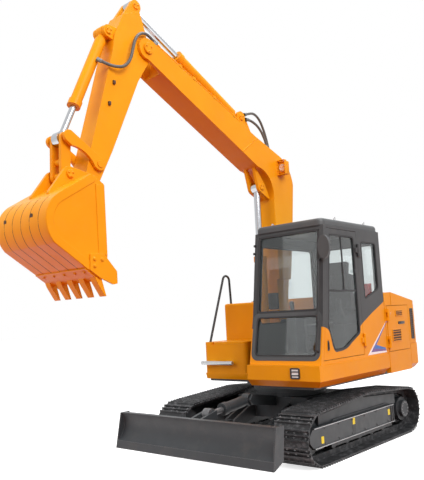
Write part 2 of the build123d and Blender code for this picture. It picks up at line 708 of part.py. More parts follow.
with BuildPart() as boom:
    for y_high, width, foot in ((BOOM_FOOT_LEFT, BOOM_FOOT_WIDTH, True), (BOOM_LEFT, BOOM_WIDTH, False)):
        with BuildSketch(side_plane(y_high)):
            with BuildLine():
                Polyline(*BOOM_BACK)
                ThreePointArc(BOOM_BACK[-1], BOOM_KNEE, BOOM_TOP[0])
                Polyline(*BOOM_TOP, BOOM_TIP_TOP, BOOM_BELLY[0])
                Polyline(*BOOM_BELLY)
                ThreePointArc(BOOM_BELLY[-1], BOOM_CROTCH_MIDDLE, BOOM_CROTCH)
                Polyline(BOOM_CROTCH, *BOOM_FRONT)
                Line(BOOM_FRONT[-1], BOOM_BACK[0])
            make_face()
            if not foot:
                with Locations((0, (NECK_TOP + BOOM_FOOT[1] - 400) / 2)):
                    Rectangle(1400, NECK_TOP - BOOM_FOOT[1] + 400, mode=Mode.SUBTRACT)
            with Locations(BOOM_TIP):
                if not foot:
                    Circle(118)
        extrude(amount=width)
    cross_bar(BOOM_FOOT, 86, BOOM_FOOT_LEFT, BOOM_FOOT_WIDTH)
    cross_bar(BOOM_FOOT, PIN_RADIUS + PIN_CLEAR, BOOM_FOOT_LEFT, BOOM_FOOT_WIDTH, mode=Mode.SUBTRACT)
    cross_bar(BOOM_TIP, 300, BOOM_Y + ARM_WIDTH / 2 + 5, ARM_WIDTH + 10, mode=Mode.SUBTRACT)
    cross_bar(BOOM_TIP, PIN_RADIUS + 22, BOOM_LEFT + 14, 20)
    cross_bar(BOOM_TIP, PIN_RADIUS + 22, BOOM_Y - BOOM_WIDTH / 2 + 6, 20)
    cross_bar(BOOM_TIP, PIN_RADIUS, BOOM_LEFT + 14, BOOM_WIDTH + 28)
    for side in (1, -1):
        ear_y = BOOM_Y + side * (CYLINDER_EYE_WIDTH / 2 + BRACKET_GAP + BRACKET_PLATE / 2) + BRACKET_PLATE / 2
        boom_ear([BOOM_CYLINDER_EYE, (190, 3120), (470, 3500)], ear_y)
        boom_ear([ARM_CYLINDER_BASE, (470, 3862), (770, 3985)], ear_y)
    pin_left = BOOM_Y + CYLINDER_EYE_WIDTH / 2 + BRACKET_GAP + BRACKET_PLATE
    cross_bar(ARM_CYLINDER_BASE, PIN_RADIUS, pin_left, 2 * (pin_left - BOOM_Y))
write(boom, "boom")

# Arm: a tapered box beam whose head carries the arm cylinder's eye and the bucket cylinder's base
ARM_LEFT = BOOM_Y + ARM_WIDTH / 2
with BuildPart() as arm:
    beam = [
        arm_point(-20, -110),
        arm_point(400, -62),
        arm_point(1300, -82),
        arm_point(1690, -74),
        arm_point(1700, 92),
        arm_point(1463, 145),
        arm_point(330, 345),
        arm_point(150, 400),
        arm_point(-150, 400),
        arm_point(-330, 240),
        arm_point(-260, 160),
        arm_point(-90, 0),
    ]
    slab(beam, ARM_LEFT, ARM_WIDTH)
    cross_bar(BOOM_TIP, 112, ARM_LEFT, ARM_WIDTH)
    cross_bar(BUCKET_PIN, 82, ARM_LEFT, ARM_WIDTH)
    cross_bar(BOOM_TIP, PIN_RADIUS + PIN_CLEAR, ARM_LEFT, ARM_WIDTH, mode=Mode.SUBTRACT)
    cross_bar(BUCKET_PIN, PIN_RADIUS + PIN_CLEAR, ARM_LEFT, ARM_WIDTH, mode=Mode.SUBTRACT)
    slot = [arm_point(-600, 100), arm_point(-600, 500), arm_point(-210, 500), arm_point(-210, 100)]
    slot_width = CYLINDER_EYE_WIDTH + 2 * BRACKET_GAP
    slab(slot, BOOM_Y + slot_width / 2, slot_width, mode=Mode.SUBTRACT)
    cross_bar(BUCKET_CYLINDER_BASE, 84, BOOM_Y + slot_width / 2, slot_width, mode=Mode.SUBTRACT)
    for side in (1, -1):
        ear_y = BOOM_Y + side * (slot_width / 2 + BRACKET_PLATE / 2) + BRACKET_PLATE / 2
        tangent_strap(arm_point(-150, 300), 90, ARM_CYLINDER_EYE, 68, ear_y, BRACKET_PLATE)
        tangent_strap(arm_point(110, 340), 80, BUCKET_CYLINDER_BASE, 66, ear_y, BRACKET_PLATE)
        link_y = BOOM_Y + side * ARM_WIDTH / 2
        cross_bar(SIDE_LINK_PIN, PIN_RADIUS, link_y + (SIDE_LINK_PLATE + 12) / 2 + side * (SIDE_LINK_PLATE + 12) / 2, SIDE_LINK_PLATE + 12)
    pin_left = BOOM_Y + slot_width / 2 + BRACKET_PLATE
    cross_bar(BUCKET_CYLINDER_BASE, PIN_RADIUS, pin_left, 2 * (pin_left - BOOM_Y))
write(arm, "arm")

# Links between the bucket cylinder's rod and the bucket
LINK_Y = ARM_WIDTH / 2 + 4
WAIST_RADIUS = 300
WAIST_BELOW = 18
waist_foot = between(SIDE_LINK_PIN, ROD_EYE_PIN, 0.46)
link_length = length_of(SIDE_LINK_PIN, ROD_EYE_PIN)
waist_drop = (WAIST_RADIUS + WAIST_BELOW) / link_length
waist = (
    waist_foot[0] + (ROD_EYE_PIN[1] - SIDE_LINK_PIN[1]) * waist_drop,
    waist_foot[1] - (ROD_EYE_PIN[0] - SIDE_LINK_PIN[0]) * waist_drop,
)
with BuildPart() as side_links:
    for side in (1, -1):
        plate_y = BOOM_Y + side * (LINK_Y + SIDE_LINK_PLATE / 2) + SIDE_LINK_PLATE / 2
        tangent_strap(SIDE_LINK_PIN, 62, ROD_EYE_PIN, 58, plate_y, SIDE_LINK_PLATE)
        cross_bar(waist, WAIST_RADIUS, plate_y, SIDE_LINK_PLATE, mode=Mode.SUBTRACT)
        cross_bar(SIDE_LINK_PIN, PIN_RADIUS + PIN_CLEAR, plate_y, SIDE_LINK_PLATE, mode=Mode.SUBTRACT)
write(side_links, "side_links")

BAR_GAP = CYLINDER_EYE_WIDTH / 2 + 8
with BuildPart() as bucket_link:
    for side in (1, -1):
        bar_y = BOOM_Y + side * (BAR_GAP + LINK_BAR / 2) + LINK_BAR / 2
        tangent_strap(ROD_EYE_PIN, 54, BUCKET_EAR_PIN, 50, bar_y, LINK_BAR)
        cross_bar(BUCKET_EAR_PIN, PIN_RADIUS + PIN_CLEAR, bar_y, LINK_BAR, mode=Mode.SUBTRACT)
    cross_bar(between(ROD_EYE_PIN, BUCKET_EAR_PIN, 0.62), 30, BOOM_Y + BAR_GAP + 5, 2 * BAR_GAP + 10)
write(bucket_link, "bucket_link")

# Bucket: a curved shell with two side plates, ears for its pins, and teeth
MOUTH_TOP = (3192, 2860)
MOUTH_LOW = (3176, 2190)
LIP = (3262, 1985)
SHELL_TOP = (3330, 2940)
SHELL_BACK = (3697, 2716)
SHELL_REAR = (3818, 2480)
SHELL_HEEL = (3738, 2290)
BUCKET_LEFT = BOOM_Y + BUCKET_HALF_WIDTH


def bucket_outline():
    """Side outline of the bucket, from the lip up the mouth and round the back."""
    with BuildLine() as outline:
        Polyline(LIP, MOUTH_LOW, MOUTH_TOP, SHELL_TOP, SHELL_BACK)
        back = ThreePointArc(SHELL_BACK, SHELL_REAR, SHELL_HEEL)
        Line(back @ 1, LIP)
    make_face(outline.edges())


with BuildPart() as bucket:
    with BuildSketch(side_plane(BUCKET_LEFT)):
        bucket_outline()
    extrude(amount=2 * BUCKET_HALF_WIDTH)
    with BuildSketch(side_plane(BUCKET_LEFT - BUCKET_SIDE)):
        bucket_outline()
        offset(amount=-BUCKET_SKIN)
        with BuildLine():
            Polyline(
                (LIP[0] - 400, LIP[1] + 30),
                (LIP[0] + 40, LIP[1] + 60),
                (MOUTH_TOP[0] + 90, MOUTH_TOP[1] - 20),
                (MOUTH_TOP[0] - 400, MOUTH_TOP[1] - 20),
                close=True,
            )
        make_face()
    extrude(amount=2 * (BUCKET_HALF_WIDTH - BUCKET_SIDE), mode=Mode.SUBTRACT)
    for side in (1, -1):
        ear_y = BOOM_Y + side * (ARM_WIDTH / 2 + 5 + BUCKET_EAR / 2) + BUCKET_EAR / 2
        with BuildSketch(side_plane(ear_y)):
            with Locations(BUCKET_PIN):
                Circle(72)
            with Locations(BUCKET_EAR_PIN):
                Circle(72)
            with Locations(between(SHELL_TOP, SHELL_BACK, 0.75)):
                Circle(20)
            with Locations((MOUTH_TOP[0] + 30, MOUTH_TOP[1] - 40)):
                Circle(20)
            make_hull()
        extrude(amount=BUCKET_EAR)
    pin_half = ARM_WIDTH / 2 + 5 + BUCKET_EAR + 10
    cross_bar(BUCKET_PIN, PIN_RADIUS, BOOM_Y + pin_half, 2 * pin_half)
    cross_bar(BUCKET_EAR_PIN, PIN_RADIUS, BOOM_Y + pin_half, 2 * pin_half)
write(bucket, "bucket")

with BuildPart() as bucket_teeth:
    tip = (LIP[0] - 62, LIP[1] - 146)
    for number in range(TOOTH_COUNT):
        tooth_y = BOOM_Y + (number - (TOOTH_COUNT - 1) / 2) * TOOTH_SPAN / (TOOTH_COUNT - 1)
        slab(
            [(LIP[0] - 14, LIP[1] + 6), tip, (tip[0] + 14, tip[1]), (LIP[0] + 40, LIP[1] - 18), (LIP[0] + 60, LIP[1] + 30)],
            tooth_y + TOOTH_WIDTH / 2,
            TOOTH_WIDTH,
        )
    add(bucket.part, mode=Mode.SUBTRACT)
write(bucket_teeth, "bucket_teeth")

# Main frame: deck plate, boom bracket and the right-hand deck
with BuildPart() as main_frame:
    with BuildSketch(Plane.XY.offset(DECK_LOW)):
        with BuildLine():
            Polyline(
                (CAB_BASE_FRONT - 120, CAB_BASE_RIGHT + 60),
                (CAB_BASE_FRONT - 120, SIDE_Y - 160),
                (COUNTERWEIGHT_FRONT + 300, SIDE_Y - 160),
                (COUNTERWEIGHT_FRONT, 600),
                (COUNTERWEIGHT_FRONT, -600),
                (COUNTERWEIGHT_FRONT + 300, RIGHT_Y + 60),
                (TOOLBOX_FRONT - 40, RIGHT_Y + 60),
                (TOOLBOX_FRONT - 40, BOOM_Y - 190),
                (520, BOOM_Y - 190),
                (520, CAB_BASE_RIGHT + 60),
                close=True,
            )
        make_face()
    extrude(amount=SKIRT_LOW - DECK_LOW)
    block(COUNTERWEIGHT_FRONT, 500, BOOM_Y - 185, CAB_BASE_RIGHT - 12, SKIRT_LOW - 5, DECK_TOP)
    block(TANK_REAR, TOOLBOX_FRONT - 40, RIGHT_Y + 30, BOOM_Y - 180, SKIRT_LOW - 5, DECK_TOP)
    for side in (1, -1):
        plate_y = BOOM_Y + side * (BOOM_FOOT_WIDTH / 2 + BRACKET_GAP + BRACKET_PLATE / 2) + BRACKET_PLATE / 2
        slab(
            [
                (-420, DECK_TOP - 5),
                (BOOM_FOOT[0] - 100, BOOM_FOOT[1] + 20),
                (BOOM_FOOT[0] - 50, BOOM_FOOT[1] + 100),
                (BOOM_FOOT[0] + 50, BOOM_FOOT[1] + 100),
                (BOOM_FOOT[0] + 110, BOOM_FOOT[1] + 20),
                (BOOM_CYLINDER_BASE[0] + 110, BOOM_CYLINDER_BASE[1] + 60),
                (BOOM_CYLINDER_BASE[0] + 110, DECK_TOP - 5),
            ],
            plate_y,
            BRACKET_PLATE,
        )
    pin_left = BOOM_Y + BOOM_FOOT_WIDTH / 2 + BRACKET_GAP + BRACKET_PLATE
    cross_bar(BOOM_FOOT, PIN_RADIUS, pin_left, 2 * (pin_left - BOOM_Y))
    cross_bar(BOOM_CYLINDER_BASE, PIN_RADIUS, pin_left, 2 * (pin_left - BOOM_Y))
    for side in (1, -1):
        boss_y = BOOM_Y + side * (BOOM_FOOT_WIDTH / 2 + BRACKET_GAP / 2 + CYLINDER_EYE_WIDTH / 2 + 2) / 2
        boss_width = BOOM_FOOT_WIDTH / 2 + BRACKET_GAP - CYLINDER_EYE_WIDTH / 2 - 2
        cross_bar(BOOM_CYLINDER_BASE, PIN_RADIUS + 22, boss_y + boss_width / 2, boss_width)
write(main_frame, "main_frame")

with BuildPart() as cab_base:
    with BuildSketch(side_plane(SIDE_Y)):
        with BuildLine():
            Polyline(
                (CAB_BASE_REAR, SKIRT_LOW),
                (CAB_BASE_FRONT - SKIRT_CHAMFER, SKIRT_LOW),
                (CAB_BASE_FRONT, SKIRT_LOW + SKIRT_CHAMFER),
                (CAB_BASE_FRONT, SKIRT_TOP),
                (CAB_BASE_REAR, SKIRT_TOP),
                close=True,
            )
        make_face()
    extrude(amount=SIDE_Y - CAB_BASE_RIGHT)
    chamfer(
        cab_base.edges().filter_by(Axis.X).sort_by(Axis.Z)[:2].sort_by(Axis.Y)[-1], length=SKIRT_CHAMFER - 2
    )
write(cab_base, "cab_base")


def rear_plan(front, reach, y_half):
    """Plan outline of the rear end, bulging backwards between its two corners."""
    with BuildLine() as outline:
        Polyline((HOUSE_REAR - reach, y_half), (front, y_half), (front, -y_half), (HOUSE_REAR - reach, -y_half))
        ThreePointArc(
            (HOUSE_REAR - reach, -y_half), (HOUSE_REAR - HOUSE_REAR_BULGE - reach, 0), (HOUSE_REAR - reach, y_half)
        )
    make_face(outline.edges())


with BuildPart() as counterweight:
    with BuildSketch(Plane.XY.offset(SKIRT_LOW)):
        rear_plan(COUNTERWEIGHT_FRONT, COUNTERWEIGHT_STEP, SIDE_Y)
    extrude(amount=COUNTERWEIGHT_TOP - SKIRT_LOW)
    fillet(counterweight.edges().filter_by(Axis.Z).group_by(Axis.X)[0], 140)
    fillet(counterweight.faces().sort_by(Axis.Z)[-1].edges(), 14)
    chamfer(counterweight.faces().sort_by(Axis.Z)[0].edges().sort_by(Axis.X)[0:3], length=60)
write(counterweight, "counterweight")

# Engine bay: plain engine, fixed housing walls, two side doors and a hood
with BuildPart() as engine_block:
    block(COUNTERWEIGHT_FRONT + 30, -800, -420, 480, DECK_TOP, 1480)
write(engine_block, "engine_block")

REAR_CORNER = 120
with BuildPart() as engine_housing:
    with BuildSketch(Plane.XY.offset(COUNTERWEIGHT_TOP)) as wall_plan:
        rear_plan(HOUSE_DOOR_REAR, 0, SIDE_Y)
        fillet(wall_plan.vertices().group_by(Axis.X)[0], REAR_CORNER)
        rear_plan_inside = offset(amount=-HOUSE_WALL, kind=Kind.INTERSECTION, mode=Mode.PRIVATE)
        add(rear_plan_inside, mode=Mode.SUBTRACT)
        with Locations((HOUSE_DOOR_REAR, 0)):
            Rectangle(4 * HOUSE_WALL, 2 * (SIDE_Y - HOUSE_WALL), mode=Mode.SUBTRACT)
    extrude(amount=HOUSE_WALL_TOP - COUNTERWEIGHT_TOP)
write(engine_housing, "engine_housing")

SILL_TOP = SKIRT_TOP + 24
SERVICE_HINGE_X = HOUSE_FRONT - 6 - PANEL_GAP / 2
with BuildPart() as side_sills:
    for y_low in (SIDE_Y - 62, -SIDE_Y + 2):
        block(COUNTERWEIGHT_FRONT, HOUSE_FRONT - 6, y_low, y_low + 60, SKIRT_LOW, SILL_TOP)
write(side_sills, "side_sills")

with BuildPart() as top_panel:
    block(HOOD_FRONT + PANEL_GAP, HOUSE_FRONT + 30, -SIDE_Y + 6, SIDE_Y - 6, HOUSE_WALL_TOP, HOOD_TOP - 4)
    block(HOUSE_FRONT - 6, HOUSE_FRONT + 30, -SIDE_Y + 6, SIDE_Y - 6, DECK_TOP, HOUSE_WALL_TOP)
    for height in SERVICE_DOOR_HINGES:
        for side in (1, -1):
            strap_y = sorted((side * (SIDE_Y - 30), side * (SIDE_Y + HINGE_OUT)))
            hinge_lugs(
                SERVICE_HINGE_X, side * (SIDE_Y + HINGE_OUT), height, (HOUSE_FRONT - 6, HOUSE_FRONT + 20), strap_y
            )
write(top_panel, "top_panel")

with BuildPart() as exhaust:
    with Locations((-765, 640, HOOD_TOP - 4 + 90)):
        Cylinder(38, 180)
write(exhaust, "exhaust")

for name, side, y_high in (("left", 1, SIDE_Y), ("right", -1, -SIDE_Y + HOUSE_WALL)):
    with BuildPart() as service_door:
        slab(
            [
                (HOUSE_FRONT - 6 - PANEL_GAP, SILL_TOP + PANEL_GAP),
                (HOUSE_DOOR_REAR + PANEL_GAP, SILL_TOP + PANEL_GAP),
                (HOUSE_DOOR_REAR + PANEL_GAP, HOUSE_WALL_TOP - PANEL_GAP),
                (HOUSE_FRONT - 6 - PANEL_GAP, HOUSE_WALL_TOP - PANEL_GAP),
            ],
            y_high,
            HOUSE_WALL,
        )
        for height in SERVICE_DOOR_HINGES:
            hinge_knuckle(
                SERVICE_HINGE_X,
                side * (SIDE_Y + HINGE_OUT),
                height,
                (SERVICE_HINGE_X - HINGE_LEAF, SERVICE_HINGE_X - HINGE_KNUCKLE / 2),
                sorted((side * SIDE_Y, side * (SIDE_Y + HINGE_OUT))),
            )
    write(service_door, f"service_door_{name}")

HOOD_SKIN = 36
with BuildPart() as engine_hood:
    with BuildSketch(Plane.XY.offset(HOUSE_WALL_TOP)) as hood_plan:
        rear_plan(HOOD_FRONT, 0, SIDE_Y - 2)
        fillet(hood_plan.vertices().group_by(Axis.X)[0], REAR_CORNER)
    extrude(amount=HOOD_TOP - HOUSE_WALL_TOP)
    slab(
        [
            (HOOD_FRONT, HOOD_TOP),
            HOOD_SLOPE_END,
            (HOUSE_REAR - HOUSE_REAR_BULGE, HOOD_REAR_TOP),
            (HOUSE_REAR - HOUSE_REAR_BULGE - 50, HOOD_REAR_TOP),
            (HOUSE_REAR - HOUSE_REAR_BULGE - 50, HOOD_TOP + 50),
            (HOOD_FRONT, HOOD_TOP + 50),
        ],
        SIDE_Y + 1,
        2 * SIDE_Y + 2,
        mode=Mode.SUBTRACT,
    )
    slab(
        [
            (HOOD_FRONT - HOOD_SKIN, HOUSE_WALL_TOP),
            (HOOD_FRONT - HOOD_SKIN, HOOD_TOP - HOOD_SKIN - 8),
            (HOOD_SLOPE_END[0], HOOD_SLOPE_END[1] - HOOD_SKIN),
            (HOOD_SLOPE_END[0] - 60, HOUSE_WALL_TOP),
        ],
        SIDE_Y - HOOD_SKIN,
        2 * (SIDE_Y - HOOD_SKIN),
        mode=Mode.SUBTRACT,
    )
write(engine_hood, "engine_hood")

# Right-hand side: tall tank, toolbox with a lid, and the handrail
with BuildPart() as fuel_tank:
    block(TANK_REAR, TANK_FRONT, RIGHT_Y, TANK_LEFT, DECK_TOP, TANK_TOP)
    fillet(fuel_tank.edges().filter_by(Axis.Z), 40)
    fillet(fuel_tank.faces().sort_by(Axis.Z)[-1].edges(), 30)
write(fuel_tank, "fuel_tank")

with BuildPart() as toolbox:
    block(TANK_FRONT + 1, TOOLBOX_FRONT, RIGHT_Y, TANK_LEFT, TOOLBOX_LOW, TOOLBOX_TOP)
    fillet(toolbox.edges().filter_by(Axis.Z).group_by(Axis.X)[-1], 60)
    block(
        TANK_FRONT + 1 + 20, TOOLBOX_FRONT + 1, TOOLBOX_LID_RIGHT, TANK_LEFT + 1, TOOLBOX_TOP - TOOLBOX_LID, TOOLBOX_TOP + 1,
        mode=Mode.SUBTRACT,
    )
    block(
        TANK_FRONT + 60, TOOLBOX_FRONT - 50, TOOLBOX_LID_RIGHT + 40, TANK_LEFT - 40, TOOLBOX_LOW + 60, TOOLBOX_TOP,
        mode=Mode.SUBTRACT,
    )
write(toolbox, "toolbox")

with BuildPart() as toolbox_lid:
    block(
        TANK_FRONT + 21 + PANEL_GAP, TOOLBOX_FRONT, TOOLBOX_LID_RIGHT + PANEL_GAP, TANK_LEFT, TOOLBOX_TOP - TOOLBOX_LID + 0.5, TOOLBOX_TOP
    )
    fillet(toolbox_lid.edges().filter_by(Axis.Z).group_by(Axis.X)[-1], 60)
write(toolbox_lid, "toolbox_lid")

RAIL_Y = -992
RAIL_RADIUS = 16
with BuildPart() as handrail:
    with BuildLine(Plane.XZ.offset(-RAIL_Y)) as rail_path:
        FilletPolyline((400, TOOLBOX_TOP - 12), (40, 2190), (-70, 2160), (-90, TANK_TOP - 2), radius=70)
    with BuildSketch(Plane(rail_path.wire() @ 0, z_dir=rail_path.wire() % 0)):
        Circle(RAIL_RADIUS)
    sweep()
    add(toolbox.part, mode=Mode.SUBTRACT)
    add(fuel_tank.part, mode=Mode.SUBTRACT)
write(handrail, "handrail")


def front_x(height):
    """Front of the cab's outer face at a height: the lower and upper windscreens meet at the knee."""
    low, high = (CAB_FRONT_LOW, CAB_FRONT_KNEE) if height <= CAB_FRONT_KNEE[1] else (CAB_FRONT_KNEE, CAB_FRONT_TOP)
    return low[0] + (high[0] - low[0]) * (height - low[1]) / (high[1] - low[1])


def front_pane(low, high, set_in):
    """Side outline of a windscreen pane between two heights."""
    return [
        (front_x(low) - set_in, low),
        (front_x(high) - set_in, high),
        (front_x(high) - set_in - GLASS, high),
        (front_x(low) - set_in - GLASS, low),
    ]


# Cab: hollow shell with its windows cut, roof, glass and door
CAB_OUTLINE = [
    (CAB_REAR, SKIRT_TOP),
    CAB_FRONT_LOW,
    CAB_FRONT_KNEE,
    CAB_FRONT_TOP,
    (CAB_REAR, CAB_FRONT_TOP[1]),
]
CAB_WIDTH = CAB_LEFT - CAB_RIGHT
DOOR_OPENING = [
    (DOOR_REAR, DOOR_LOW),
    (front_x(DOOR_LOW) - DOOR_FRONT_POST, DOOR_LOW),
    (front_x(CAB_FRONT_KNEE[1]) - DOOR_FRONT_POST, CAB_FRONT_KNEE[1]),
    (front_x(DOOR_TOP) - DOOR_FRONT_POST, DOOR_TOP),
    (DOOR_REAR, DOOR_TOP),
]
QUARTER_WINDOW = [
    (QUARTER_FRONT, QUARTER_LOW),
    (QUARTER_FRONT, QUARTER_TOP),
    (QUARTER_REAR, QUARTER_TOP),
    (QUARTER_REAR, QUARTER_LOW + 130),
]
SIDE_WINDOW = [
    (QUARTER_REAR, SIDE_WINDOW_LOW),
    (front_x(SIDE_WINDOW_LOW) - 110, SIDE_WINDOW_LOW),
    (front_x(QUARTER_TOP) - 110, QUARTER_TOP),
    (QUARTER_REAR, QUARTER_TOP),
]
UPPER_WINDOW_LOW = CAB_FRONT_KNEE[1] + WINDOW_BAR / 2
LOWER_WINDOW_TOP = CAB_FRONT_KNEE[1] - WINDOW_BAR / 2
with BuildPart() as cab_shell:
    slab(CAB_OUTLINE, CAB_LEFT, CAB_WIDTH)
    slab(
        [
            (CAB_REAR + CAB_WALL, SKIRT_TOP + CAB_FLOOR),
            (front_x(SKIRT_TOP + CAB_FLOOR) - CAB_WALL, SKIRT_TOP + CAB_FLOOR),
            (CAB_FRONT_KNEE[0] - CAB_WALL, CAB_FRONT_KNEE[1]),
            (CAB_FRONT_TOP[0] - CAB_WALL, CAB_FRONT_TOP[1] - CAB_WALL / 2),
            (CAB_REAR + CAB_WALL, CAB_FRONT_TOP[1] - CAB_WALL / 2),
        ],
        CAB_LEFT - CAB_WALL,
        CAB_WIDTH - 2 * CAB_WALL,
        mode=Mode.SUBTRACT,
    )
    for low, high in ((WINDOW_LOW, LOWER_WINDOW_TOP), (UPPER_WINDOW_LOW, WINDOW_TOP)):
        block(
            CAB_FRONT_TOP[0] - 150, CAB_FRONT_LOW[0] + 50, CAB_RIGHT + WINDSHIELD_SIDE, CAB_LEFT - WINDSHIELD_SIDE, low, high,
            mode=Mode.SUBTRACT,
        )
    slab(DOOR_OPENING, CAB_LEFT + 1, CAB_WALL + 2, mode=Mode.SUBTRACT)
    slab(QUARTER_WINDOW, CAB_LEFT + 1, CAB_WALL + 2, radius=40, mode=Mode.SUBTRACT)
    slab(SIDE_WINDOW, CAB_RIGHT + CAB_WALL + 1, CAB_WALL + 2, radius=60, mode=Mode.SUBTRACT)
    block(
        CAB_REAR - 1, CAB_REAR + CAB_WALL + 1, CAB_RIGHT + 90, CAB_LEFT - 90, REAR_WINDOW_LOW, QUARTER_TOP, mode=Mode.SUBTRACT
    )
    for height in CAB_DOOR_HINGES:
        hinge_lugs(
            DOOR_REAR, CAB_LEFT + HINGE_OUT, height, (DOOR_REAR - HINGE_LEAF, DOOR_REAR), (CAB_LEFT, CAB_LEFT + HINGE_OUT)
        )
write(cab_shell, "cab_shell")

with BuildPart() as cab_roof:
    block(
        CAB_REAR - CAB_ROOF_LAP, CAB_FRONT_TOP[0] + CAB_ROOF_LAP, CAB_RIGHT + CAB_ROOF_LAP, CAB_LEFT - CAB_ROOF_LAP,
        CAB_FRONT_TOP[1], CAB_ROOF_TOP,
    )
    fillet(cab_roof.edges().filter_by(Axis.Z), 70)
    fillet(cab_roof.faces().sort_by(Axis.Z)[-1].edges(), 45)
write(cab_roof, "cab_roof")

with BuildPart() as cab_glass:
    pane_left = CAB_LEFT - WINDSHIELD_SIDE - PIN_CLEAR
    pane_width = CAB_WIDTH - 2 * WINDSHIELD_SIDE - 2 * PIN_CLEAR
    slab(front_pane(WINDOW_LOW + PIN_CLEAR, LOWER_WINDOW_TOP - PIN_CLEAR, GLASS_SET_IN), pane_left, pane_width)
    slab(front_pane(UPPER_WINDOW_LOW + PIN_CLEAR, WINDOW_TOP - PIN_CLEAR, GLASS_SET_IN), pane_left, pane_width)
    with BuildSketch(side_plane(CAB_LEFT - GLASS_SET_IN)) as quarter:
        with BuildLine():
            Polyline(*QUARTER_WINDOW, close=True)
        make_face()
        fillet(quarter.vertices(), 40)
        offset(amount=-PIN_CLEAR)
    extrude(amount=GLASS)
    with BuildSketch(side_plane(CAB_RIGHT + GLASS_SET_IN + GLASS)) as side_light:
        with BuildLine():
            Polyline(*SIDE_WINDOW, close=True)
        make_face()
        fillet(side_light.vertices(), 60)
        offset(amount=-PIN_CLEAR)
    extrude(amount=GLASS)
    block(
        CAB_REAR + GLASS_SET_IN, CAB_REAR + GLASS_SET_IN + GLASS, CAB_RIGHT + 90 + PIN_CLEAR, CAB_LEFT - 90 - PIN_CLEAR,
        REAR_WINDOW_LOW + PIN_CLEAR, QUARTER_TOP - PIN_CLEAR,
    )
write(cab_glass, "cab_glass")

with BuildPart() as cab_door:
    with BuildSketch(side_plane(CAB_LEFT)):
        with BuildLine():
            Polyline(*DOOR_OPENING, close=True)
        make_face()
        offset(amount=-PANEL_GAP, kind=Kind.INTERSECTION)
    extrude(amount=CAB_WALL)
    door_window = [
        (DOOR_REAR + DOOR_FRAME, 1330),
        (400, DOOR_WINDOW_LOW),
        (640, DOOR_WINDOW_LOW),
        (front_x(1440) - DOOR_FRONT_POST - DOOR_FRAME, 1440),
        (front_x(DOOR_TOP - DOOR_FRAME) - DOOR_FRONT_POST - DOOR_FRAME, DOOR_TOP - DOOR_FRAME),
        (DOOR_REAR + DOOR_FRAME, DOOR_TOP - DOOR_FRAME),
    ]
    slab(door_window, CAB_LEFT + 1, CAB_WALL + 2, radius=40, mode=Mode.SUBTRACT)
    for height in CAB_DOOR_HINGES:
        hinge_knuckle(
            DOOR_REAR,
            CAB_LEFT + HINGE_OUT,
            height,
            (DOOR_REAR + HINGE_KNUCKLE / 2, DOOR_REAR + HINGE_LEAF),
            (CAB_LEFT, CAB_LEFT + HINGE_OUT),
        )
write(cab_door, "cab_door")

with BuildPart() as door_glass:
    with BuildSketch(side_plane(CAB_LEFT - GLASS_SET_IN)) as door_light:
        with BuildLine():
            Polyline(*door_window, close=True)
        make_face()
        fillet(door_light.vertices(), 40)
        offset(amount=-PIN_CLEAR)
    extrude(amount=GLASS)
write(door_glass, "door_glass")

# Inside the cab: seat, consoles with levers, and the extinguisher
SEAT_Y = (CAB_LEFT + CAB_RIGHT) / 2
CAB_INNER_FLOOR = SKIRT_TOP + CAB_FLOOR
with BuildPart() as seat:
    block(-330, 120, SEAT_Y - 200, SEAT_Y + 200, CAB_INNER_FLOOR, CAB_INNER_FLOOR + 260)
    block(-340, 160, SEAT_Y - 240, SEAT_Y + 240, CAB_INNER_FLOOR + 255, CAB_INNER_FLOOR + 390)
    slab(
        [(-340, 1450), (-230, 1450), (-330, 2060), (-420, 2060)],
        SEAT_Y + 230,
        460,
    )
    slab([(-350, 2040), (-410, 2040), (-440, 2230), (-380, 2230)], SEAT_Y + 130, 260)
write(seat, "seat")

with BuildPart() as controls:
    for side in (1, -1):
        console_y = SEAT_Y + side * 330
        block(-260, 260, console_y - 70, console_y + 70, CAB_INNER_FLOOR, CAB_INNER_FLOOR + 480)
        with Locations((210, console_y, CAB_INNER_FLOOR + 480 + 90)):
            Cylinder(22, 190)
        pedal_y = SEAT_Y + side * 70
        block(520, 690, pedal_y - 50, pedal_y + 50, CAB_INNER_FLOOR, CAB_INNER_FLOOR + 60)
        with Locations((560, pedal_y, CAB_INNER_FLOOR + 60 + 200)):
            Cylinder(14, 410)
write(controls, "controls")

with BuildPart() as extinguisher:
    with Locations((CAB_REAR + CAB_WALL + 70, CAB_LEFT - CAB_WALL - 120, CAB_INNER_FLOOR + 640)):
        Cylinder(62, 440)
    block(CAB_REAR + CAB_WALL, CAB_REAR + CAB_WALL + 60, CAB_LEFT - CAB_WALL - 150, CAB_LEFT - CAB_WALL - 90, CAB_INNER_FLOOR + 500, CAB_INNER_FLOOR + 560)
write(extinguisher, "extinguisher")

# Rear-view mirror on its bracket at the left front post
MIRROR_Z = 2320
with BuildPart() as mirror:
    with BuildSketch(Plane.YZ.offset(front_x(MIRROR_Z) + 40)):
        with Locations((CAB_LEFT + 44, MIRROR_Z)):
            Ellipse(74, 130)
    extrude(amount=36)
    block(front_x(MIRROR_Z) - 30, front_x(MIRROR_Z) + 60, CAB_LEFT, CAB_LEFT + 40, MIRROR_Z - 12, MIRROR_Z + 12)
write(mirror, "mirror")
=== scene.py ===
import bmesh
import bpy
import json
import math
from mathutils import Matrix, Vector
from mathutils.bvhtree import BVHTree


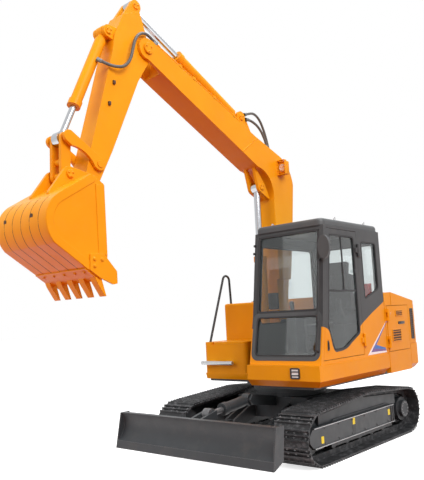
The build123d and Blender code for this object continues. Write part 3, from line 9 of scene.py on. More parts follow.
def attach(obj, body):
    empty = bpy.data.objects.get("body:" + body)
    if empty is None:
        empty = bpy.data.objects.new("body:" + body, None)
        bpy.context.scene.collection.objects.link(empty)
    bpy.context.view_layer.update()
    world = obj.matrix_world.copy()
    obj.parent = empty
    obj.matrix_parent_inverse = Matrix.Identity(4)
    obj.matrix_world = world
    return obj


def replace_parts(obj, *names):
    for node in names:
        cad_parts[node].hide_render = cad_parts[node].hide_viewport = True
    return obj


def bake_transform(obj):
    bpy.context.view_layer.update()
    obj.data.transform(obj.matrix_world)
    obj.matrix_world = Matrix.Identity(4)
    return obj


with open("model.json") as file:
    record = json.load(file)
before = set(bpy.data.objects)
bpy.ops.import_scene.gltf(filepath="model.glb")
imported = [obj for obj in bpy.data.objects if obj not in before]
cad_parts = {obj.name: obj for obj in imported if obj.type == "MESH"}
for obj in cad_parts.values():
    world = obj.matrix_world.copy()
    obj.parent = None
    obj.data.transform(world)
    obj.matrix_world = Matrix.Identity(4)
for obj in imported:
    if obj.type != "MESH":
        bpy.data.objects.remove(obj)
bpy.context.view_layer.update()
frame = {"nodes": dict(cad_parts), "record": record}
nodes = frame["nodes"]

# The photograph's frame and the camera that its perspective gives, in metres and degrees.
# Places are measured from the slew axis, which stands behind the stored origin.
PHOTO_WIDTH = 424
PHOTO_HEIGHT = 480
SLEW_AXIS = Vector((-1.05, 0.0, 0.0))
CAMERA_PLACE = Vector((6.702, 4.601, 1.608))
CAMERA_YAW = math.radians(-138.5)
CAMERA_PITCH = math.radians(6.35)
CAMERA_ROLL = math.radians(-2.89)
FOCAL_PIXELS = 612.6
CENTRE_PIXEL = (206.5, 248.9)
SENSOR = 36.0
LEFT = Vector((0, 1, 0))
RIGHT = Vector((0, -1, 0))
FORWARD = Vector((1, 0, 0))
UP = Vector((0, 0, 1))


def place(x, y, z):
    """Point given from the slew axis, in the shared frame."""
    return SLEW_AXIS + Vector((x, y, z))


def make_camera():
    """Camera at the photograph's viewpoint, with the shift that its framing needs."""
    ahead = Vector((
        math.cos(CAMERA_PITCH) * math.cos(CAMERA_YAW),
        math.cos(CAMERA_PITCH) * math.sin(CAMERA_YAW),
        math.sin(CAMERA_PITCH),
    ))
    level_right = ahead.cross(UP).normalized()
    level_up = level_right.cross(ahead)
    right = level_right * math.cos(CAMERA_ROLL) + level_up * math.sin(CAMERA_ROLL)
    up = level_up * math.cos(CAMERA_ROLL) - level_right * math.sin(CAMERA_ROLL)
    data = bpy.data.cameras.new("camera")
    data.sensor_width = SENSOR
    data.lens = FOCAL_PIXELS * SENSOR / PHOTO_HEIGHT
    data.shift_x = (PHOTO_WIDTH / 2 - CENTRE_PIXEL[0]) / PHOTO_HEIGHT
    data.shift_y = (CENTRE_PIXEL[1] - PHOTO_HEIGHT / 2) / PHOTO_HEIGHT
    data.clip_end = 200
    camera = bpy.data.objects.new("camera", data)
    turn = Matrix((right, up, -ahead)).transposed().to_4x4()
    camera.matrix_world = Matrix.Translation(SLEW_AXIS + CAMERA_PLACE) @ turn
    bpy.context.scene.collection.objects.link(camera)
    bpy.context.scene.camera = camera


make_camera()


# Materials
class Shader:
    """A node material with short ways to add and join nodes."""

    def __init__(self, name):
        self.material = bpy.data.materials.new(name)
        self.material.use_nodes = True
        self.tree = self.material.node_tree
        self.surface = self.tree.nodes["Principled BSDF"]
        self.coords = self.node("ShaderNodeTexCoord").outputs["Object"]

    def node(self, kind, **settings):
        made = self.tree.nodes.new(kind)
        for name, value in settings.items():
            setattr(made, name, value)
        return made

    def join(self, output, target):
        self.tree.links.new(output, target)

    def noise(self, scale, detail=4.0, roughness=0.55, stretch=None):
        made = self.node("ShaderNodeTexNoise")
        made.inputs["Scale"].default_value = scale
        made.inputs["Detail"].default_value = detail
        made.inputs["Roughness"].default_value = roughness
        coords = self.coords
        if stretch:
            mapping = self.node("ShaderNodeMapping")
            mapping.inputs["Scale"].default_value = stretch
            self.join(coords, mapping.inputs["Vector"])
            coords = mapping.outputs["Vector"]
        self.join(coords, made.inputs["Vector"])
        return made.outputs["Fac"]

    def ramp(self, factor, *stops):
        """Colour ramp; each stop is a place and a colour or a grey value."""
        made = self.node("ShaderNodeValToRGB")
        elements = made.color_ramp.elements
        while len(elements) < len(stops):
            elements.new(0.5)
        for element, (where, colour) in zip(elements, stops):
            element.position = where
            grey = isinstance(colour, (int, float))
            element.color = (colour, colour, colour, 1) if grey else (*colour, 1)
        self.join(factor, made.inputs["Fac"])
        return made.outputs["Color"]

    def mix(self, factor, first, second, blend="MIX"):
        made = self.node("ShaderNodeMix", data_type="RGBA", blend_type=blend)
        for value, number in ((factor, 0), (first, 6), (second, 7)):
            socket = made.inputs[number]
            if isinstance(value, bpy.types.NodeSocket):
                self.join(value, socket)
            elif isinstance(value, (int, float)):
                socket.default_value = value
            else:
                socket.default_value = (*value, 1)
        return made.outputs[2]

    def math(self, operation, first, second):
        made = self.node("ShaderNodeMath", operation=operation)
        for value, socket in zip((first, second), made.inputs):
            if isinstance(value, bpy.types.NodeSocket):
                self.join(value, socket)
            else:
                socket.default_value = value
        return made.outputs[0]

    def bump(self, height, strength, distance, normal=None):
        made = self.node("ShaderNodeBump")
        made.inputs["Strength"].default_value = strength
        made.inputs["Distance"].default_value = distance
        self.join(height, made.inputs["Height"])
        if normal:
            self.join(normal, made.inputs["Normal"])
        return made.outputs["Normal"]

    def rounded(self, radius):
        """Normal that rounds sharp edges over a small radius."""
        made = self.node("ShaderNodeBevel", samples=4)
        made.inputs["Radius"].default_value = radius
        return made.outputs["Normal"]

    def edges(self, radius, strength):
        """Factor that is high along sharp edges, where paint and steel wear, and where the lighter colour laid
        on them is partly a painted highlight.
        """
        bent = self.node("ShaderNodeVectorMath", operation="DOT_PRODUCT")
        self.join(self.rounded(radius), bent.inputs[0])
        self.join(self.node("ShaderNodeNewGeometry").outputs["Normal"], bent.inputs[1])
        edge_wear_and_highlight = self.math("MULTIPLY", self.math("SUBTRACT", 1.0, bent.outputs["Value"]), strength)
        return self.math("MINIMUM", self.math("MULTIPLY", edge_wear_and_highlight, self.noise(30.0, 6.0, 0.7)), 1.0)

    def finish(self, colour, roughness, normal=None, **sockets):
        surface = self.surface
        for value, name in ((colour, "Base Color"), (roughness, "Roughness"), (normal, "Normal")):
            if value is None:
                continue
            if isinstance(value, bpy.types.NodeSocket):
                self.join(value, surface.inputs[name])
            elif name == "Base Color":
                surface.inputs[name].default_value = (*value, 1)
            else:
                surface.inputs[name].default_value = value
        for name, value in sockets.items():
            surface.inputs[name.replace("_", " ")].default_value = value
        return self.material


DUST = (0.42, 0.36, 0.28)


def paint_tone(shader, colour, darker, dust, edge_wear_and_highlight):
    """Soft clouds of tone, a little dust, and lighter edges, partly wear and partly a painted highlight."""
    clouds = shader.ramp(shader.noise(1.6, 5.0), (0.35, darker), (0.65, colour))
    dirt = shader.ramp(shader.noise(5.0, 8.0, 0.7), (0.52, 0.0), (0.78, dust))
    toned = shader.mix(dirt, clouds, DUST)
    return shader.mix(shader.edges(0.008, 1.6), toned, edge_wear_and_highlight)


def paint_skin(shader, gloss):
    """Roughness of a sprayed coat, duller in places, and its normal: orange peel and soft edges."""
    rough = shader.ramp(shader.noise(9.0, 6.0), (0.3, gloss), (0.75, gloss + 0.14))
    return rough, shader.bump(shader.noise(420.0, 2.0), 0.06, 0.0006, shader.rounded(0.006))


def paint(name, colour, darker, gloss, dust, edge_wear_and_highlight, shine=0.5):
    """One sprayed paint, with clouds of tone, dust, and lighter edges that are partly wear and partly a painted
    highlight.
    """
    shader = Shader(name)
    toned = paint_tone(shader, colour, darker, dust, edge_wear_and_highlight)
    rough, normal = paint_skin(shader, gloss)
    return shader.finish(toned, rough, normal, Specular_IOR_Level=shine)


# Lower edge of the dark upper cab, as (distance ahead of the slew axis, height)
CAB_SWEEP = (
    (-0.65, 1.695), (-0.593, 1.67), (-0.224, 1.521), (0.071, 1.372), (0.20, 1.262), (0.341, 1.183),
    (0.46, 1.158), (0.56, 1.152), (0.625, 1.156), (0.665, 1.20), (0.70, 1.30), (0.735, 1.39), (0.80, 1.428),
    (0.95, 1.438),
)
SWEEP_SPAN = (-0.65, 0.95)
SWEEP_HEIGHT = 2.0
# Inside the cab: behind the leaning screen and between the side walls
SCREEN_LEAN = 0.2053
SCREEN_INSIDE = 1.131
WALLS_INSIDE = (0.125, 1.035)
CAB_GLOSS = 0.30
CAB_SHINE = 0.22


def cab_paint(name, grey, grey_dark, orange, orange_dark):
    """Two paints on the cab, dark above and orange below a swept line, and dark inside."""
    shader = Shader(name)
    split = shader.node("ShaderNodeSeparateXYZ")
    shader.join(shader.coords, split.inputs[0])
    x, y, z = split.outputs
    rear, front = SWEEP_SPAN
    share = shader.math("DIVIDE", shader.math("SUBTRACT", x, SLEW_AXIS.x + rear), front - rear)
    curve = shader.node("ShaderNodeFloatCurve")
    line = curve.mapping.curves[0]
    places = [((x - rear) / (front - rear), z / SWEEP_HEIGHT) for x, z in CAB_SWEEP]
    line.points[0].location = places[0]
    line.points[1].location = places[-1]
    for where in places[1:-1]:
        line.points.new(*where)
    curve.mapping.update()
    shader.join(share, curve.inputs["Value"])
    boundary = shader.math("MULTIPLY", curve.outputs["Value"], SWEEP_HEIGHT)
    above = shader.math("GREATER_THAN", z, boundary)
    lean = shader.math("ADD", x, shader.math("MULTIPLY", z, SCREEN_LEAN))
    inside = shader.math("LESS_THAN", lean, SLEW_AXIS.x + SCREEN_INSIDE)
    inside = shader.math("MULTIPLY", inside, shader.math("GREATER_THAN", y, WALLS_INSIDE[0]))
    inside = shader.math("MULTIPLY", inside, shader.math("LESS_THAN", y, WALLS_INSIDE[1]))
    covered = shader.math("MAXIMUM", above, inside)
    # The dark paint's edges are light grey: a painted highlight along the frame edges, partly wear.
    dark = paint_tone(shader, grey, grey_dark, 0.05, (0.26, 0.26, 0.26))
    bright = paint_tone(shader, orange, orange_dark, 0.04, orange)
    rough, normal = paint_skin(shader, CAB_GLOSS)
    return shader.finish(shader.mix(covered, bright, dark), rough, normal, Specular_IOR_Level=CAB_SHINE)


def worn_steel(name, colour, bright, rough, metal=0.35):
    """Dark steel with rubbed patches, brighter edges that are partly wear and partly a painted highlight, and a
    cast grain.
    """
    shader = Shader(name)
    rubbed = shader.ramp(shader.noise(14.0, 8.0, 0.65), (0.5, 0.0), (0.72, 1.0))
    tone = shader.mix(rubbed, colour, tuple((one + two) / 2 for one, two in zip(colour, bright)))
    tone = shader.mix(shader.edges(0.006, 2.2), tone, bright)
    roughness = shader.ramp(shader.noise(22.0, 6.0), (0.3, rough), (0.7, rough + 0.2))
    normal = shader.bump(shader.noise(160.0, 5.0), 0.25, 0.0012, shader.rounded(0.004))
    return shader.finish(tone, roughness, normal, Metallic=metal)


def chrome(name):
    shader = Shader(name)
    streaks = shader.noise(40.0, 3.0, stretch=(1.0, 1.0, 0.05))
    rough = shader.ramp(streaks, (0.3, 0.10), (0.7, 0.20))
    return shader.finish((0.50, 0.51, 0.53), rough, Metallic=1.0)


def glass(name, tint):
    shader = Shader(name)
    smear = shader.ramp(shader.noise(6.0, 4.0), (0.4, 0.01), (0.7, 0.03))
    return shader.finish(tint, smear, Transmission_Weight=1.0, IOR=1.45)


def plastic(name, colour, rough, grain, **sockets):
    """Moulded plastic or rubber with a fine grain and uneven tone."""
    shader = Shader(name)
    tone = shader.mix(shader.noise(12.0, 4.0), colour, tuple(min(1, part * 1.5) for part in colour))
    normal = shader.bump(shader.noise(grain, 2.0), 0.2, 0.0005, shader.rounded(0.003))
    return shader.finish(tone, rough, normal, **sockets)


def fabric(name, colour):
    """Woven seat cloth: two crossed sets of threads, and a soft sheen."""
    shader = Shader(name)
    threads = []
    for direction in ("Y", "Z"):
        wave = shader.node("ShaderNodeTexWave", wave_type="BANDS", bands_direction=direction)
        wave.inputs["Scale"].default_value = 160.0
        wave.inputs["Distortion"].default_value = 0.6
        shader.join(shader.coords, wave.inputs["Vector"])
        threads.append(wave.outputs["Fac"])
    weave = shader.math("MULTIPLY", *threads)
    tone = shader.mix(weave, colour, tuple(part * 2.2 for part in colour))
    normal = shader.bump(weave, 0.35, 0.0008)
    return shader.finish(tone, 0.88, normal, Sheen_Weight=0.3)


ORANGE = (0.86, 0.345, 0.004)
ORANGE_DEEP = (0.82, 0.31, 0.003)
# Lighter orange along sharp edges: a painted highlight
ORANGE_EDGE_HIGHLIGHT = (0.92, 0.45, 0.02)
CAB_GREY = (0.064, 0.071, 0.074)
CAB_GREY_DEEP = (0.051, 0.057, 0.060)
# Light grey along the edges of the dark paints: a painted highlight, partly wear
GREY_EDGE_HIGHLIGHT = (0.22, 0.22, 0.22)
# The last colour of each paint is that of its edges, lighter than the paint: partly wear and partly a painted
# highlight
finishes = {
    "orange_paint": paint("orange_paint", ORANGE, ORANGE_DEEP, 0.30, 0.03, ORANGE_EDGE_HIGHLIGHT, shine=0.18),
    "charcoal_paint": paint(
        "charcoal_paint", (0.030, 0.034, 0.038), (0.022, 0.025, 0.028), 0.40, 0.06, GREY_EDGE_HIGHLIGHT
    ),
    "cab_grey_paint": paint("cab_grey_paint", CAB_GREY, CAB_GREY_DEEP, 0.36, 0.05, GREY_EDGE_HIGHLIGHT),
    "cab_two_tone": cab_paint("cab_two_tone", CAB_GREY, CAB_GREY_DEEP, ORANGE, ORANGE_DEEP),
    "chrome_rod": chrome("chrome_rod"),
    # The tracks' bright edge colour paints highlights along the shoe ridges, with some wear.
    "track_steel": worn_steel("track_steel", (0.026, 0.027, 0.029), (0.26, 0.26, 0.27), 0.42),
    "tinted_glass": glass("tinted_glass", (0.78, 0.82, 0.82)),
    "seat_fabric": fabric("seat_fabric", (0.018, 0.018, 0.02)),
    "black_plastic": plastic("black_plastic", (0.014, 0.014, 0.015), 0.5, 700.0),
    "red_paint": paint("red_paint", (0.50, 0.012, 0.010), (0.42, 0.01, 0.01), 0.25, 0.03, (0.6, 0.1, 0.08)),
    "black_paint": paint(
        "black_paint", (0.013, 0.013, 0.014), (0.010, 0.010, 0.011), 0.25, 0.04, (0.05, 0.05, 0.05)
    ),
    "exhaust_steel": worn_steel("exhaust_steel", (0.07, 0.065, 0.06), (0.24, 0.22, 0.20), 0.45, 0.7),
    "galvanised_steel": worn_steel("galvanised_steel", (0.52, 0.53, 0.54), (0.70, 0.71, 0.72), 0.34, 0.85),
    "hose_rubber": plastic("hose_rubber", (0.070, 0.065, 0.060), 0.48, 900.0),
    "seal_rubber": plastic("seal_rubber", (0.016, 0.016, 0.017), 0.62, 900.0),
    "bolt_steel": worn_steel("bolt_steel", (0.16, 0.16, 0.165), (0.46, 0.46, 0.47), 0.35, 0.8),
    # Bright steel of the painted highlights on the track covers' lips
    "lip_highlight": worn_steel("lip_highlight", (0.42, 0.43, 0.44), (0.70, 0.71, 0.72), 0.30, 0.6),
    "marker_yellow": plastic("marker_yellow", (0.86, 0.62, 0.02), 0.45, 600.0),
    "vent_dark": plastic("vent_dark", (0.055, 0.022, 0.008), 0.65, 500.0),
    "stripe_white": plastic("stripe_white", (0.80, 0.79, 0.82), 0.34, 600.0),
    "stripe_purple": plastic("stripe_purple", (0.135, 0.06, 0.22), 0.34, 600.0),
    "stripe_blue": plastic("stripe_blue", (0.02, 0.12, 0.42), 0.34, 600.0),
    "lamp_lens": plastic("lamp_lens", (0.86, 0.86, 0.84), 0.12, 200.0, Coat_Weight=0.6),
    "lamp_reflector": worn_steel("lamp_reflector", (0.75, 0.75, 0.74), (0.9, 0.9, 0.9), 0.14, 0.9),
    "mirror_glass": chrome("mirror_glass"),
}
# Solids whose finish differs from their slot's
NODE_FINISHES = {"cab_shell": "cab_two_tone", "cab_door": "cab_two_tone", "blade_cylinder_rod": "bolt_steel"}


def dress_nodes():
    """Every carried-over solid gets its slot's finish, or its own where it has one."""
    for subpart in frame["record"]["subparts"]:
        mesh = nodes[subpart["node"]].data
        name = NODE_FINISHES.get(subpart["node"], subpart["material_slot"])
        mesh.materials.clear()
        mesh.materials.append(finishes[name])


dress_nodes()


# Hoses: smooth splines, in millimetres from the slew axis
HOSE_RADIUS = 0.016
ARM_HOSE = (
    (2190, 30, 4592), (2310, 40, 4662), (2440, 62, 4640), (2545, 85, 4545), (2595, 95, 4410),
    (2635, 95, 4270), (2715, 85, 4175), (2820, 62, 4155), (2905, 20, 4180), (2970, -35, 4224),
)
UPPER_BOOM_HOSE = (
    (615, -25, 4160), (500, -30, 4205), (360, -55, 4240), (215, -78, 4195), (110, -90, 4060),
    (45, -95, 3910), (5, -100, 3780), (-20, -104, 3690),
)
LOWER_BOOM_HOSE = (
    (615, -5, 4095), (540, -2, 4100), (463, 0, 4085), (385, 0, 4058), (303, 0, 4000), (240, 0, 3912),
    (208, 0, 3840), (190, 0, 3775),
)


def hose_line(name, route, bevel):
    """Smooth spline with the route's points as its control points."""
    data = bpy.data.curves.new(name, "CURVE")
    data.dimensions = "3D"
    spline = data.splines.new("NURBS")
    spline.points.add(len(route) - 1)
    for point, where in zip(spline.points, route):
        point.co = (*place(*(part / 1000 for part in where)), 1)
    spline.order_u = 3
    spline.use_endpoint_u = True
    spline.resolution_u = 12
    data.bevel_depth = bevel
    data.bevel_resolution = 5
    data.use_fill_caps = True
    return data


def as_mesh(data):
    """Mesh of a curve, read through an object that isn't kept."""
    carrier = bpy.data.objects.new("line", data)
    bpy.context.scene.collection.objects.link(carrier)
    bpy.context.view_layer.update()
    mesh = bpy.data.meshes.new_from_object(carrier)
    bpy.data.objects.remove(carrier)
    return mesh


def make_hose(name, route):
    """Rubber hose on its route."""
    line = [vertex.co.copy() for vertex in as_mesh(hose_line(name + "_line", route, 0)).vertices]
    mesh = as_mesh(hose_line(name + "_tube", route, HOSE_RADIUS))
    mesh.name = name
    mesh.materials.clear()
    mesh.materials.append(finishes["hose_rubber"])
    mesh.shade_smooth()
    hose = bpy.data.objects.new(name, mesh)
    bpy.context.scene.collection.objects.link(hose)
    return hose


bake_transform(make_hose("arm_hose", ARM_HOSE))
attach(make_hose("boom_hose_upper", UPPER_BOOM_HOSE), "boom")
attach(make_hose("boom_hose_lower", LOWER_BOOM_HOSE), "boom")


# Ways to make pieces. Places are given from the slew axis, in metres.
SIDES = (1, -1)
SIDE_NAMES = {1: "left", -1: "right"}
ROD_SEGMENTS = 16
WASHER_SINK = 0.003
# The rest of a bolt is in shares of its size
WASHER_RADIUS, WASHER_HEIGHT = 1.3, 0.25
HEAD_HEIGHT, HEAD_TOP_RADIUS = 0.95, 0.94


def facing(where, along):
    """Matrix that stands a shape's Z axis along a direction."""
    return Matrix.Translation(where) @ Vector(along).to_track_quat("Z", "Y").to_matrix().to_4x4()


def settle(name, shape, finish, body, smooth=40):
    """Object of a finished shape, riding on a body."""
    bmesh.ops.recalc_face_normals(shape, faces=shape.faces[:])
    mesh = bpy.data.meshes.new(name)
    shape.to_mesh(mesh)
    shape.free()
    mesh.materials.append(finishes[finish])
    mesh.shade_smooth()
    mesh.set_sharp_from_angle(angle=math.radians(smooth))
    piece = bpy.data.objects.new(name, mesh)
    bpy.context.scene.collection.objects.link(piece)
    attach(piece, body)
    return piece


def edges_of(verts):
    """Edges at these vertices, each once and in the same order at each run."""
    return list(dict.fromkeys(edge for vert in verts for edge in vert.link_edges))


def add_box(shape, low, high, bevel):
    """Block between two corners, with softened edges."""
    low, high = place(*low), place(*high)
    matrix = Matrix.Translation((low + high) / 2) @ Matrix.Diagonal((*(high - low), 1))
    made = bmesh.ops.create_cube(shape, size=1, matrix=matrix)
    edges = edges_of(made["verts"])
    bmesh.ops.bevel(shape, geom=edges, offset=bevel, affect="EDGES", segments=2, profile=0.5, material=-1)


def add_bar(shape, start, end, radius, segments, end_radius=None):
    """Round bar or cone between two points."""
    start, end = place(*start), place(*end)
    bmesh.ops.create_cone(
        shape,
        cap_ends=True,
        segments=segments,
        radius1=radius,
        radius2=radius if end_radius is None else end_radius,
        depth=(end - start).length,
        matrix=facing((start + end) / 2, end - start),
    )


def add_rod_path(shape, points, radius):
    """Bent rod: straight runs with a ball at each bend."""
    for start, end in zip(points, points[1:]):
        add_bar(shape, start, end, radius, ROD_SEGMENTS)
    for bend in points[1:-1]:
        bmesh.ops.create_uvsphere(
            shape,
            u_segments=ROD_SEGMENTS,
            v_segments=ROD_SEGMENTS // 2,
            radius=radius,
            matrix=Matrix.Translation(place(*bend)),
        )


def add_bolt(shape, where, along, size):
    """Hexagon head on its washer, seated on the surface."""
    where, along = Vector(where), Vector(along).normalized()
    washer_top = where + along * size * WASHER_HEIGHT
    add_bar(shape, where - along * WASHER_SINK, washer_top, size * WASHER_RADIUS, segments=16)
    head_top = where + along * size * HEAD_HEIGHT
    add_bar(shape, where, head_top, size, segments=6, end_radius=size * HEAD_TOP_RADIUS)


def merge(shape, part):
    """Adds a finished part to a shape."""
    mesh = bpy.data.meshes.new("part")
    part.to_mesh(mesh)
    part.free()
    shape.from_mesh(mesh)
    bpy.data.meshes.remove(mesh)


def add_plate(shape, corners, out, thick, round_by=0.0, width=0.0, between=None):
    """Flat plate, or with a width a ring along its outline, thickened along out.

    Its corners are rounded by round_by, and between clips it to a span along X.
    """
    flat = bmesh.new()
    flat.faces.new([flat.verts.new(place(*corner)) for corner in corners])
    for limit, ahead in zip(between or (), (False, True)):
        bmesh.ops.bisect_plane(
            flat,
            geom=flat.verts[:] + flat.edges[:] + flat.faces[:],
            plane_co=place(limit, 0, 0),
            plane_no=FORWARD,
            clear_outer=ahead,
            clear_inner=not ahead,
        )
    if round_by:
        bmesh.ops.bevel(
            flat, geom=flat.verts[:], offset=round_by, affect="VERTICES", segments=6, profile=0.5, material=-1
        )
    if width:
        ring = bmesh.ops.inset_region(
            flat, faces=flat.faces[:], thickness=width, use_boundary=True, use_even_offset=True
        )["faces"]
        middle = [face for face in flat.faces if face not in ring]
        bmesh.ops.delete(flat, geom=middle, context="FACES")
    if flat.faces:
        grown = bmesh.ops.extrude_face_region(flat, geom=flat.faces[:])["geom"]
        moved = [item for item in grown if isinstance(item, bmesh.types.BMVert)]
        bmesh.ops.translate(flat, vec=Vector(out).normalized() * thick, verts=moved)
    merge(shape, flat)


def side_points(points, y):
    """Points of a side view, given as (x, z), at a place across the machine."""
    return [(x, y, z) for x, z in points]


def front_points(points, x):
    """Points of a front view, given as (y, z), at a place along the machine."""
    return [(x, y, z) for y, z in points]


def rectangle(low, high):
    """Four corners of a rectangle in a view, from its lowest and its highest."""
    return [low, (high[0], low[1]), high, (low[0], high[1])]


def rectangle_round(middle, half):
    """Four corners of a rectangle in a view, from its middle and half its sides."""
    (across, up), (half_across, half_up) = middle, half
    return rectangle((across - half_across, up - half_up), (across + half_across, up + half_up))


def reach(side, near, far):
    """Two distances out from the middle, as places across on one side, the lower first."""
    return sorted((side * near, side * far))


def around(count):
    """Even directions round a circle, as cosine and sine."""
    turns = [2 * math.pi * number / count for number in range(count)]
    return [Vector((math.cos(turn), math.sin(turn))) for turn in turns]


# Undercarriage: side covers with lips and marks, shoe bolts, and bolts of ring and hubs
COVER = ((-0.775, 0.192), (1.13, 0.192), (1.195, 0.255), (1.195, 0.325), (1.13, 0.388), (-0.775, 0.388))
COVER_INNER = 0.983
COVER_FACE = 1.018
COVER_LIPS = ((0.180, 0.196), (0.384, 0.400))
LIP_ENDS = (-0.775, 1.12)
LIP_FACE = COVER_FACE + 0.010
# Bright steel strips along the covers' lips: painted highlights
LIP_HIGHLIGHT_ENDS = (-0.765, 1.11)
LIP_HIGHLIGHT_FACES = (COVER_FACE + 0.0085, COVER_FACE + 0.0112)
# Distances of a painted highlight strip above its lip's foot and below its top
LIP_HIGHLIGHT_ABOVE, LIP_HIGHLIGHT_BELOW = 0.003, 0.004
GUARD = ((-0.93, 0.385), (0.93, 0.385), (0.93, 0.500), (-0.05, 0.568), (-0.93, 0.505))
GUARD_INNER = 0.950
GUARD_THICK = 0.018
COVER_RIBS = (-0.70, -0.745)
RIB_HALF = 0.009
RIB_HEIGHTS = (0.196, 0.384)
RIB_FACES = (COVER_FACE - 0.004, COVER_FACE + 0.014)
COVER_MARKS = ((0.949, 0.254), (0.26, 0.344), (-0.636, 0.314))
MARK_HALF = (0.026, 0.036)
MARK_BASE = COVER_FACE - 0.001
COVER_HOLE = rectangle((0.225, 0.205), (0.295, 0.300))
COVER_BOLTS = (-0.60, -0.30, 0.0, 0.30, 0.60, 0.90)
COVER_BOLT_HEIGHTS = (0.215, 0.368)


def make_track_covers():
    """Covers with lips, ribs and bolts, the guards above, bright strips painted as highlights along the lip
    edges, yellow marks, and dark sheets painted as the shade in the covers' openings.
    """
    covers, rubbed, marks, hole_shades = (bmesh.new() for _ in range(4))
    for side in SIDES:
        out = LEFT * side
        add_plate(covers, side_points(COVER, side * COVER_INNER), out, COVER_FACE - COVER_INNER, round_by=0.012)
        add_plate(covers, side_points(GUARD, side * GUARD_INNER), out, GUARD_THICK, round_by=0.01)
        for low, high in COVER_LIPS:
            first, last = reach(side, COVER_INNER, LIP_FACE)
            add_box(covers, (LIP_ENDS[0], first, low), (LIP_ENDS[1], last, high), bevel=0.003)
            first, last = reach(side, *LIP_HIGHLIGHT_FACES)
            low, high = low + LIP_HIGHLIGHT_ABOVE, high - LIP_HIGHLIGHT_BELOW
            # Bright strip on the lip: a painted highlight
            add_box(rubbed, (LIP_HIGHLIGHT_ENDS[0], first, low), (LIP_HIGHLIGHT_ENDS[1], last, high), bevel=0.001)
        first, last = reach(side, *RIB_FACES)
        for x in COVER_RIBS:
            low, high = RIB_HEIGHTS
            add_box(covers, (x - RIB_HALF, first, low), (x + RIB_HALF, last, high), bevel=0.004)
        for middle in COVER_MARKS:
            mark = rectangle_round(middle, MARK_HALF)
            add_plate(marks, side_points(mark, side * MARK_BASE), out, thick=0.003, round_by=0.006)
        # Dark sheet where the cover has an opening: painted shade
        add_plate(hole_shades, side_points(COVER_HOLE, side * MARK_BASE), out, thick=0.0025, round_by=0.008)
        for x in COVER_BOLTS:
            for z in COVER_BOLT_HEIGHTS:
                add_bolt(covers, (x, side * COVER_FACE, z), out, size=0.010)
    settle("track_covers", covers, "charcoal_paint", "undercarriage")
    settle("cover_lip_highlight", rubbed, "lip_highlight", "undercarriage")
    settle("cover_marks", marks, "marker_yellow", "undercarriage")
    settle("cover_hole_shades", hole_shades, "black_plastic", "undercarriage")


IDLER = Vector((1.085, 0.29))
SPROCKET = Vector((-1.11, 0.29))
CARRIER = Vector((-0.056, 0.587))
PITCH_RADIUS = 0.229
WHEEL_TOP = Vector((0, PITCH_RADIUS))
# Runs of the line of link pins: straight ones, and half a turn round a wheel where no end is given
TRACK_RUNS = (
    (SPROCKET - WHEEL_TOP, IDLER - WHEEL_TOP),
    (IDLER, None),
    (IDLER + WHEEL_TOP, CARRIER),
    (CARRIER, SPROCKET + WHEEL_TOP),
    (SPROCKET, None),
)
TRACK_MIDDLE = 0.875
SHOE_COUNT = 39
SHOE_FACE = 0.041
SHOE_BOLT_ROWS = (1 / 3, 2 / 3)
SHOE_BOLTS = (-0.19, -0.047, 0.047, 0.19)
SHOE_BOLT_SINK, SHOE_BOLT_HEIGHT = 0.002, 0.010
SHOE_BOLT_RADIUS, SHOE_BOLT_TOP = 0.011, 0.0095
RING_BOLTS, RING_BOLT_CIRCLE, RING_BOLT_HEIGHT = 40, 0.469, 0.735
HUB_BOLTS, HUB_BOLT_CIRCLE, HUB_FACE = 12, 0.085, 1.015


def run_length(start, end):
    return PITCH_RADIUS * math.pi if end is None else (end - start).length


def track_point(distance):
    """Point on the line of link pins, from the rear end of the ground run forwards."""
    for start, end in TRACK_RUNS:
        length = run_length(start, end)
        if distance <= length:
            break
        distance -= length
    if end is not None:
        return start.lerp(end, distance / length)
    turn = distance / PITCH_RADIUS + (math.pi / 2 if start is SPROCKET else -math.pi / 2)
    return start + PITCH_RADIUS * Vector((math.cos(turn), math.sin(turn)))


def make_shoe_bolts():
    """Two rows of four bolt heads on each shoe."""
    whole = sum(run_length(*run) for run in TRACK_RUNS)
    pins = [track_point(whole * number / SHOE_COUNT) for number in range(SHOE_COUNT)]
    bolts = bmesh.new()
    for pin, after in zip(pins, pins[1:] + pins[:1]):
        run = after - pin
        out = Vector((run.y, -run.x)).normalized()
        along = Vector((out.x, 0, out.y))
        for row in SHOE_BOLT_ROWS:
            spot = pin + run * row + out * SHOE_FACE
            for side in SIDES:
                for across in SHOE_BOLTS:
                    where = Vector((spot.x, side * TRACK_MIDDLE + across, spot.y))
                    foot, top = where - along * SHOE_BOLT_SINK, where + along * SHOE_BOLT_HEIGHT
                    add_bar(bolts, foot, top, SHOE_BOLT_RADIUS, segments=6, end_radius=SHOE_BOLT_TOP)
    settle("shoe_bolts", bolts, "bolt_steel", "undercarriage")


def make_ring_and_hub_bolts():
    bolts = bmesh.new()
    for spoke in around(RING_BOLTS):
        along = spoke.to_3d()
        add_bolt(bolts, along * RING_BOLT_CIRCLE + UP * RING_BOLT_HEIGHT, along, size=0.011)
    for side in SIDES:
        for spoke in around(HUB_BOLTS):
            spot = SPROCKET + HUB_BOLT_CIRCLE * spoke
            add_bolt(bolts, (spot.x, side * HUB_FACE, spot.y), LEFT * side, size=0.010)
    settle("ring_and_hub_bolts", bolts, "bolt_steel", "undercarriage")


make_track_covers()
make_shoe_bolts()
make_ring_and_hub_bolts()


# Cab: window seals, screen frame, door fittings, roof eyes, drip rail, knobs and grab rail
CAB_LEFT = 1.062
CAB_RIGHT = 0.098
CAB_FOOT = (0.950, 1.030)
CAB_KNEE = (0.834, 1.595)
CAB_CROWN = (0.692, 2.585)
SCREEN_POST = 0.062
GLASS_SET_IN = 0.014
SEAL_THICK = 0.016


